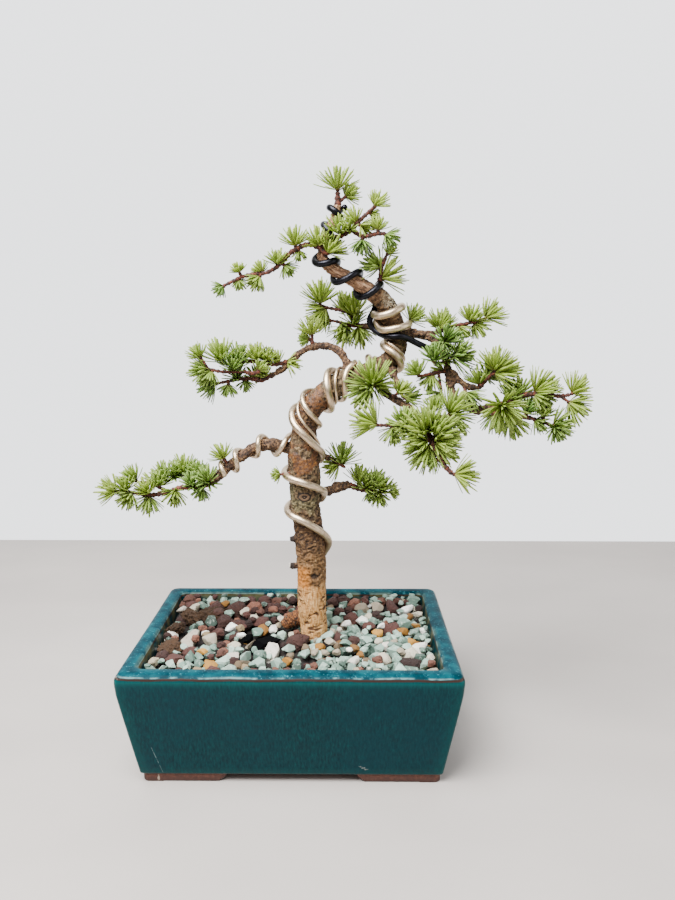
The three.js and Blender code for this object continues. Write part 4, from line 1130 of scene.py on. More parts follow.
# %% [markdown]
# ## Wood: one grown skin
#
# Tubes along the routes give every limb its line and thickness, but a tree has no seams where a
# branch leaves the trunk. Voxel remeshing melts the tubes into one skin of even faces, and a little
# smoothing rounds the forks. Each point of that skin is then given its place in the bark: round the
# limb it grows on and along it. Bark patterns drawn in those measures follow every bend.

# %% One skin
VOXEL = 0.6  # mm
THICK_SIDES, THIN_SIDES = 32, 16  # of the trunk's tube and of the others


def limb_shape(name):
    """One limb's tube, knobbly where it is thin, with rounded ends."""
    centres, radii = LIMBS[name]
    thick = name == "trunk"
    if not thick:
        along = np.arange(len(centres))
        radii = radii * (1 + 0.07 * np.sin(along * 0.9 + len(name)) + 0.05 * np.sin(along * 0.37))
    ways = unit([centres[0] - centres[1], centres[-1] - centres[-2]])
    caps = [radii[0] * 0.5, radii[-1] * 0.6]
    line = np.vstack([centres[0] + ways[0] * caps[0] * 0.6, centres, centres[-1] + ways[1] * caps[1] * 0.6])
    around = np.concatenate([[caps[0]], radii, [caps[1]]])
    return skin(sweep(line, around, THICK_SIDES if thick else THIN_SIDES))


wood = mesh_object("larch_wood", *merged([limb_shape(name) for name in WOOD]), [])
melt = wood.modifiers.new("melt", "REMESH")
melt.mode = "VOXEL"
melt.voxel_size = VOXEL * MM
ease = wood.modifiers.new("ease", "SMOOTH")
ease.factor = 0.5
ease.iterations = 6
settled(wood)
points = points_of(wood)
normals = np.empty(points.size)
wood.data.vertices.foreach_get("normal", normals)
normals = normals.reshape(-1, 3)
print("wood skin:", len(points), "points")

# %% Places in the bark
owner, starts_at = [], []
for number, (centres, _) in enumerate(LIMBS.values()):
    owner += [number] * (len(centres) - 1)
    starts_at += list(lengths_along(centres)[:-1])
owner, starts_at = np.array(owner), np.array(starts_at)
starts, ends, bar_radii = WOOD_BARS
bar_ways = unit(ends - starts)
rights, fronts = sideways(bar_ways)
_, _, bar, share = by_parts(points, WOOD_BARS)
offset = points - starts[bar] - (ends - starts)[bar] * share[:, None]
along = starts_at[bar] + share * np.linalg.norm((ends - starts)[bar], axis=1)
# A place in the bark: how far right and how far front of the limb's middle, and how far along it.
bark = np.stack([(offset * rights[bar]).sum(1), (offset * fronts[bar]).sum(1), along], 1)
limb = owner[bar]
radius = bar_radii[bar, 0]
on_trunk, on_root, on_stub_high, on_stub_low = (
    limb == list(WOOD).index(name) for name in ("trunk", "rootKnob", "stubHigh", "stubLow")
)
high = points[:, 2]


def between(values, low, high):
    """0 below low, 1 above high, eased in between."""
    share = np.clip((values - low) / (high - low), 0, 1)
    return share * share * (3 - 2 * share)


def waves(places, scale, seed=0.0):
    """Smooth noise from -1 to 1 at each place; scale is the size of its bumps in mm on each axis."""
    scaled = places / np.asarray(scale, float) + seed
    return np.array([noise.noise(Vector(place)) for place in scaled])


print("points on the trunk:", int(on_trunk.sum()), "- on the root:", int(on_root.sum()))

# %% [markdown]
# ## Wood: bark relief
#
# The foot of the trunk has lost its bark and shows stringy, straw-coloured inner bark. Above it come
# scaly plates, then smoother orange skin where plates have flaked off, then the plates of the bend,
# and thin streaked bark at the crown. Where a branch was cut long ago the bark has healed into an
# eye-shaped knot. All of that is relief of a few tenths of a millimetre, moved straight out of the
# skin.

# %% Zones of the bark
# The zones change at heights on the trunk or, on its bend and in its crown, at lengths along it. Both
# are pulled about by a few millimetres, so no zone ends in a line.
stray = waves(points, 9, 3.1) * 5 + waves(points, 3.5, 8.2) * 2.5
level = high + stray
stringy = (on_trunk & (high < 130)) * (1 - between(level, 99, 107))
pale = (on_trunk & (high < 140)) * (1 - between(level, 120, 131))
smooth_low = on_trunk * between(level, 173, 179) * (1 - between(level, 192, 199))
bend_along = bark[:, 2]
smooth_high = on_trunk * between(bend_along + stray, 153, 158) * (1 - between(bend_along + stray, 168, 174))
crown = on_trunk * between(bend_along + stray * 0.6, 258, 266)
smooth = np.clip(smooth_low + smooth_high, 0, 1) * between(waves(points, 6.5, 14.2) + 0.25, 0.05, 0.2)
thick = between(radius, 3.6, 6.5)
plated = np.clip(1 - stringy - 0.85 * smooth - crown, 0, 1)
print("share of the wood that is plated:", plated.mean().round(2))

# %% Bark relief
# Places in the bark are pulled about by up to 1.8 mm, so that no row of scales lines up.
bent = bark + np.stack([waves(bark, 3.4, seed) for seed in (2, 12, 22)], 1) * 1.8
scales = waves(bent, [2.4, 2.4, 1.5], 2) + 0.6 * waves(bent, [1.2, 1.2, 0.8], 7)
lifted = between(scales, -0.14, 0.2)
chink = between(-scales, 0.16, 0.42)
rough = waves(bark, [1.1, 1.1, 1.0], 7)
fibre = waves(bark, [1.2, 1.2, 9], 4)
rings = waves(bent, [6, 6, 1.1], 6)
small = 1 - thick

relief = waves(points, 11, 5.5) * np.minimum(0.055 * radius, 0.55)
relief += plated * thick * (lifted * 0.5 - 0.3 - chink * 0.36 + rough * 0.24)
relief += plated * small * (lifted * 0.34 - 0.2 - chink * 0.2 + rough * 0.15)
relief += stringy * (fibre * 0.32 + rough * 0.2 - between(rings, 0.22, 0.4) * 0.4)
relief += smooth * (rough * 0.2 + lifted * 0.14)
relief += crown * (fibre * 0.3 + lifted * 0.3 + rough * 0.2)
# Thin limbs are knobbly with the scars of old shoots.
knobs = waves(bark, [4.2, 4.2, 4.2], 9)
relief += small * ~on_trunk * (np.maximum(knobs, 0) * 1.3 - 0.12)
print("bark relief:", np.percentile(relief, [1, 99]).round(2), "mm for all but a few points")

# %% Knot, scars, stub ends and the striped root
EYE_KNOT = [6.3, -9, 162]
EYE_WIDE, EYE_TALL = 4.2, 2.9  # mm from its middle
away = points - EYE_KNOT
eye = np.hypot(away[:, 0] / EYE_WIDE, away[:, 2] / EYE_TALL)
near_eye = (on_trunk & (points[:, 1] < -4)) * (eye < 1.7)
ridges = np.cos(np.clip(eye, 0, 1.5) * 2 * np.pi * 1.5) * 0.42 * (1 - between(eye, 1.1, 1.6))
relief = np.where(near_eye, relief * between(eye, 0.9, 1.6) + ridges, relief)

SCARS = {(12.6, -9, 110.3): (3.6, 2.7), (-0.3, -9, 94): (2.3, 2.2)}  # place, half its width and height
scar_dark = np.zeros(len(points))
for place, (wide, tall) in SCARS.items():
    away = points - place
    scar = np.hypot(away[:, 0] / wide, away[:, 2] / tall) + waves(points, 1.6, 1.7) * 0.45
    scar_dark = np.maximum(scar_dark, (on_trunk & (points[:, 1] < -1)) * (1 - between(scar, 0.45, 1.1)))
relief -= scar_dark * 0.55

root_rings = waves(bark, [9, 9, 1.0], 3)
relief += on_root * (root_rings * 0.4 + 0.1)
stub_out = (on_stub_high | on_stub_low) * between(-points[:, 0], -0.5, 1.5)

points += normals * relief[:, None]
wood.data.vertices.foreach_set("co", metres(points).astype(np.float32).ravel())
wood.data.update()
print("relief from", relief.min().round(2), "to", relief.max().round(2), "mm")

# %% [markdown]
# ## Wood: bark colour
#
# The finish lays the zones over one another by the numbers kept on each point, and adds grain finer
# than the skin's faces, drawn in the bark's own measures in millimetres.

# %% Numbers for the finish
ochre = between(-bark[:, 0], -2, 4) * between(high, 99, 103) * (1 - between(high, 112, 118))
red_low = 0.6 * (high < 175) * (1 - between(level, 146, 156))
red = 0.15 + 0.85 * between(high, 196, 204) + red_low
red = 0.6 * between(bend_along, 180, 200) + (1 - between(bend_along, 150, 175)) * red
mossy = between(waves(points, 8, 21) + 0.2 * (high < 176), 0.12, 0.4)
mossy = mossy * between(level, 144, 154) * (1 - 0.8 * between(level, 168, 178))
nick = between(rings, 0.22, 0.4)
LICHEN, LICHEN_REACH = [63, 0, 283], [11, 9, 9]  # mm
KEPT = {
    "stringy": np.maximum(stringy, pale * 0.2), "smooth": smooth, "crown": crown,
    "chink": chink * (1 - stringy) * (1 - 0.6 * smooth), "lifted": lifted, "small": small * ~on_trunk,
    "nick": stringy * nick, "dark": np.clip(scar_dark * 0.85 + stub_out, 0, 1), "root": on_root,
    "ochre": on_trunk * ochre, "red": on_trunk * red, "moss": on_trunk * mossy,
    "bare": on_stub_low * between(-points[:, 0], 3.2, 4.0),
    "lichen": np.clip(1 - np.linalg.norm((points - LICHEN) / LICHEN_REACH, axis=1), 0, 1),
}
for name, values in KEPT.items():
    paint(wood, name, values)
layer = wood.data.attributes.new("bark", "FLOAT_VECTOR", "POINT")
layer.data.foreach_set("vector", bark.astype(np.float32).ravel())
print("kept on each point:", ", ".join(KEPT))

# %% Patterns in the bark
bark_finish, add = new_finish("larch_bark")
spot = add("Attribute", attribute_name="bark")["Vector"]
kept = {name: add("Attribute", attribute_name=name)["Fac"] for name in KEPT}
# Strands 5 mm long and under 1 mm wide, scales of 2 mm, bands across the limb and specks of half a mm.
strands, squat, crossing = (
    add("Mapping", {"Vector": spot, "Scale": scale})["Vector"]
    for scale in ((1.3, 1.3, 0.2), (0.42, 0.42, 0.78), (0.25, 0.25, 1.5))
)
grain, mottle, specks, bands = (
    add("TexNoise", dict(zip(("Vector", "Scale", "Detail", "Roughness", "Distortion"), row)))["Fac"]
    for row in (
        (strands, 1.0, 5, 0.65, 0), (squat, 1.0, 6, 0.72, 0.9), (spot, 1.6, 3, 0.6, 0),
        (crossing, 1.0, 3, 0.6, 0),
    )
)
raised = add("Math", {0: kept["lifted"], 1: 0.1, 2: mottle}, operation="MULTIPLY_ADD")["Value"]
streaked = add("Math", {0: grain, 1: 0.6, 2: -0.3}, operation="MULTIPLY_ADD")["Value"]
streaked = add("Math", {0: streaked, 1: raised}, operation="ADD")["Value"]
print("patterns in the bark drawn for", bark_finish.name)

# %% The eye-shaped knot
# An almond of dark bark round a paler ring, with a dark pupil and a light core.
ALMOND = (1 / 0.0043, 0, 1 / 0.0029)  # its half width and half height in metres, as scales
place = add("TexCoord")["Object"]
from_knot = add("VectorMath", {0: place, 1: tuple(metres(EYE_KNOT))}, operation="SUBTRACT")["Vector"]
almond = add("VectorMath", {0: from_knot, 1: ALMOND}, operation="MULTIPLY")["Vector"]
from_rim = add("VectorMath", {0: almond}, operation="LENGTH")["Value"]
uneven = add("Math", {0: mottle, 1: 0.5, 2: from_rim}, operation="MULTIPLY_ADD")["Value"]
uneven = add("Math", {0: uneven, 1: 0.25}, operation="SUBTRACT")["Value"]
depth = add("SeparateXYZ", {"Vector": from_knot})["Y"]
pecked, worn, flaked, spotted, in_knot, in_front = (
    add("MapRange", dict(zip(SPAN, row)))["Result"] for row in (
        (bands, 0.57, 0.66), (specks, 0.4, 0.3, 0, 0.45), (specks, 0.62, 0.70), (specks, 0.50, 0.56),
        (uneven, 0.96, 1.08, 1, 0), (depth, 0.004, 0.006, 1, 0),
    )
)
print("knot at", EYE_KNOT)

# %% Tones of the bark
TONES = {
    "plates": (raised, [
        (0.38, "#120b06"), (0.48, "#352814"), (0.57, "#53422a"), (0.67, "#756043"), (0.80, "#ae9a7a"),
    ]),
    "reddish": (raised, [
        (0.38, "#120904"), (0.48, "#321b09"), (0.58, "#4c2e12"), (0.68, "#6a4926"), (0.80, "#a1825a"),
    ]),
    "mossy": (raised, [(0.40, "#2d2b17"), (0.55, "#6f6b45"), (0.72, "#a9a27c")]),
    "straw": (grain, [
        (0.28, "#5c3712"), (0.40, "#a26c30"), (0.52, "#c6945a"), (0.64, "#dcb278"), (0.8, "#eed4a2"),
    ]),
    "orange": (mottle, [
        (0.34, "#180b03"), (0.45, "#402206"), (0.56, "#643a08"), (0.68, "#815010"), (0.82, "#a27634"),
    ]),
    "flesh": (grain, [(0.33, "#26170e"), (0.45, "#6d4b33"), (0.57, "#a07a5b"), (0.70, "#d3b18d")]),
    "twiggy": (streaked, [
        (0.38, "#120b07"), (0.50, "#382417"), (0.60, "#5a3f28"), (0.70, "#7f6041"), (0.82, "#b8996f"),
    ]),
    "striped": (bands, [
        (0.40, "#160904"), (0.47, "#502509"), (0.53, "#8c5826"), (0.57, "#542a0c"), (0.63, "#1c0c05"),
    ]),
    "knot": (uneven, [
        (0.06, "#6c543a"), (0.15, "#170d07"), (0.34, "#22150c"), (0.46, "#6b523a"), (0.72, "#5b4530"),
        (0.86, "#140b06"),
    ]),
}
tones = {
    name: add("ValToRGB", {"Fac": source}, stops=stops)["Color"]
    for name, (source, stops) in TONES.items()
}
print("tones of the bark:", ", ".join(tones))

# %% Coats of the bark
# Bark is dead cork: it scatters light without a shine, and only the smooth orange skin has a little.
straw = coats(add, tones["straw"], [("#5d3a1a", pecked), ("#4b2d14", kept["nick"]), ("#6a4420", worn)])
tone = coats(add, tones["plates"], [
    (tones["reddish"], kept["red"]),
    (tones["mossy"], kept["moss"], 0.4),
    (straw, kept["stringy"]),
    ("#b9711f", kept["ochre"], 0.7),
    (tones["orange"], kept["smooth"]),
    (tones["flesh"], kept["crown"]),
    (tones["twiggy"], kept["small"]),
    (tones["striped"], kept["root"]),
    ("#cbb294", flaked, 0.22),
    ("#1d120b", kept["chink"], 0.3),
    ("#d8d4bc", kept["lichen"], spotted),
    ("#1d120c", kept["dark"]),
    (tones["knot"], in_knot, in_front),
    ("#d9d2c4", kept["bare"]),
])
shine = add("MapRange", {"Value": kept["smooth"], "To Min": 0.88, "To Max": 0.6})["Result"]
fine = add("Math", {0: specks, 1: grain}, operation="ADD")["Value"]
relief_fine = add("Bump", {"Height": fine, "Strength": 0.5, "Distance": 0.0006})["Normal"]
surface = {"Base Color": tone, "Roughness": shine, "Normal": relief_fine}
add("OutputMaterial", {"Surface": add("BsdfPrincipled", surface)["BSDF"]})
wood.data.materials.clear()
wood.data.materials.append(bark_finish)
wood.data.polygons.foreach_set("use_smooth", np.ones(len(wood.data.polygons), bool))
finish_piece(wood, "trunk_and_branches")

# %% [markdown]
# ## The training wires
#
# Soft anodised aluminium wire is wound round trunk and branches to hold them in a bend: a thick
# champagne wire up the trunk with a fine one beside it, a thinner one on the lower left branch, and
# a black one on the crown. Each is laid out as a list of [knot, turns] along a route, so it winds at
# the wood's own surface, and is then pushed clear of the wood and of the wires wound before it.

# %% Turns of the wires
# Each leg names a limb and lists [knot, turns]: the knot is a place in that limb's list, with parts of
# the way to the next, and turns count 0 at the right, 0.25 at the front, 0.5 at the left. A hook lists
# places of a loose end before the first turn.


def quarters(first, knots, step=0.25):
    """A wire that passes these knots a quarter turn apart, the first of them at this many turns."""
    return [[knot, first + i * step] for i, knot in enumerate(knots)]


WIRES = {
    "wire_trunk": {
        "radius": 2.35, "slot": "champagne_wire",
        "legs": [["trunk", [
            [0.2, -0.3], [2.4, -0.27], [3.4, -0.15], [4.0, 0.02], [5.0, 0.27],
            *quarters(0.5, [
                5.35, 5.6, 6.0, 6.65, 6.95, 7.35, 7.9, 9.2, 10.3, 10.9, 11.5, 12.05, 12.6, 13.0, 13.5, 14.0,
                14.45, 15.0, 15.55, 15.95, 16.35, 16.8, 17.3, 17.6, 17.8, 18.1, 18.4, 18.5, 18.6,
            ]),
        ]]],
    },
    "wire_fine": {
        "radius": 1.0, "slot": "champagne_wire",
        "legs": [["trunk", [
            [8.1, 1.85],
            *quarters(2.0, [8.45, 9.75, 10.75, 11.3, 11.9, 12.45, 13.0, 13.4, 13.9, 14.4, 14.85, 15.3]),
            [15.9, 5.02], [16.25, 5.25], [16.7, 5.5],
        ]]],
    },
    "wire_lower_left": {
        "radius": 1.75, "slot": "champagne_wire",
        "legs": [
            ["lowerLeft", [
                [5.4, 3.3],
                *quarters(3.0, [5.1, 4.95, 4.85, 4.4, 4.1, 3.7, 3.2, 2.95, 2.7, 2.1, 1.65, 1.4, 1.1], -0.25),
            ]],
            ["trunk", [[9.0, 0.62], *quarters(0.75, [9.4, 9.9, 10.5, 11.1, 11.7, 12.4, 12.9, 13.4])]],
        ],
    },
    "wire_crown": {
        "radius": 2.0, "slot": "black_wire",
        "legs": [["trunk", [
            [16.9, 0.12], [17.3, 0.25], [17.8, 0.5], [18.8, 0.6],
            *quarters(0.75, [
                19.3, 19.75, 20.0, 20.4, 20.6, 20.85, 21.25, 21.7, 21.85, 22.0, 22.4, 22.9, 23.4, 24.0, 24.4,
                24.8, 25.0, 25.2, 25.5, 25.8, 25.95, 26.1,
            ]),
        ]]],
        "hook": [[88, 1, 251], [85, 0, 253], [80, -1, 255]],
    },
}
print("wires:", ", ".join(WIRES))

# %% Wire finishes


def anodised(name, tones, roughness):
    """Aluminium with a dyed oxide skin: a metal whose skin is dulled and faintly scratched."""
    finish, add = new_finish(name)
    place = add("TexCoord")["Object"]
    wear = add("TexNoise", {"Vector": place, "Scale": 330, "Detail": 4, "Roughness": 0.7})["Fac"]
    dents = add("TexNoise", {"Vector": place, "Scale": 240, "Detail": 2})["Fac"]
    dull = dict(zip(SPAN, (wear, 0.3, 0.7, roughness - 0.06, roughness + 0.1)))
    shader = add("BsdfPrincipled", {
        "Base Color": add("ValToRGB", {"Fac": wear}, stops=tones)["Color"], "Metallic": 1.0,
        "Roughness": add("MapRange", dull)["Result"],
        "Normal": add("Bump", {"Height": dents, "Strength": 0.12, "Distance": 0.0006})["Normal"],
    })["BSDF"]
    add("OutputMaterial", {"Surface": shader})
    return finish


DYED = {
    "champagne_wire": anodised("champagne_anodised_aluminium", [
        (0.3, "#b3997d"), (0.5, "#cbb69a"), (0.75, "#decdb7"),
    ], 0.38),
    "black_wire": anodised("black_anodised_aluminium", [
        (0.3, "#1c1c20"), (0.6, "#2b2b30"), (0.8, "#4a4a50"),
    ], 0.34),
}
print("finishes:", ", ".join(finish.name for finish in DYED.values()))

# %% Winding
STEPS_PER_TURN = 24
LOOSE = 0.15  # mm, wire never lies quite tight
AHEAD = 0.02  # of a knot, to either side, to tell which way the limb runs


def wind(leg, radius):
    """Places along one leg of a wire, resting on the wood at the wire's own radius."""
    limb, rows = leg
    knots_of = np.array(WOOD[limb], float)
    rows = np.array(rows, float)
    turned_by = np.abs(np.diff(rows[:, 1]))
    steps = np.maximum(1, np.round(turned_by * STEPS_PER_TURN)).astype(int)
    spots = np.concatenate([[0], *(i + np.arange(1, n + 1) / n for i, n in enumerate(steps))])
    knots = np.interp(spots, np.arange(len(rows)), rows[:, 0]).clip(0, len(knots_of) - 1)
    angles = np.interp(spots, np.arange(len(rows)), rows[:, 1]) * TURN
    places = smooth_line(knots_of[:, :3], knots)
    ahead = smooth_line(knots_of[:, :3], np.minimum(knots + AHEAD, len(knots_of) - 1))
    behind = smooth_line(knots_of[:, :3], np.maximum(knots - AHEAD, 0))
    rights, fronts = sideways(unit(ahead - behind))
    reach = np.interp(knots, np.arange(len(knots_of)), knots_of[:, 3]) + radius + LOOSE
    return places + (rights * np.cos(angles)[:, None] + fronts * np.sin(angles)[:, None]) * reach[:, None]


print("winding ready:", STEPS_PER_TURN, "steps a turn")

# %% The wires, wound
EVEN = 1.2  # mm from one place of a wire to the next
ROUNDS = 30  # of easing a wire's kinks and pushing it clear
WIRE_SIDES = 14
laid_wires = []
for name, plan in WIRES.items():
    radius = plan["radius"]
    line = np.vstack([np.array(plan.get("hook", []), float).reshape(-1, 3)]
                     + [wind(leg, radius) for leg in plan["legs"]])
    lengths = lengths_along(line)
    steps = np.linspace(0, lengths[-1], int(lengths[-1] / EVEN))
    line = smooth_line(line, np.interp(steps, lengths, np.arange(len(line))))
    for _ in range(ROUNDS):
        line[1:-1] = line[1:-1] / 2 + (line[:-2] + line[2:]) / 4
        for bars in (WOOD_BARS, *laid_wires):
            gap, out, _, _ = clearance(line, bars)
            line += out * np.maximum(radius + LOOSE - gap, 0)[:, None]
    laid_wires.append(bars_of(line, radius))
    wire = mesh_object(name + "_wound", *rounded_rod(line, radius, WIRE_SIDES), [DYED[plan["slot"]]])
    finish_piece(wire, name)
    print(name, "length", round(lengths[-1]), "mm")
WIRE_BARS = gathered(laid_wires)
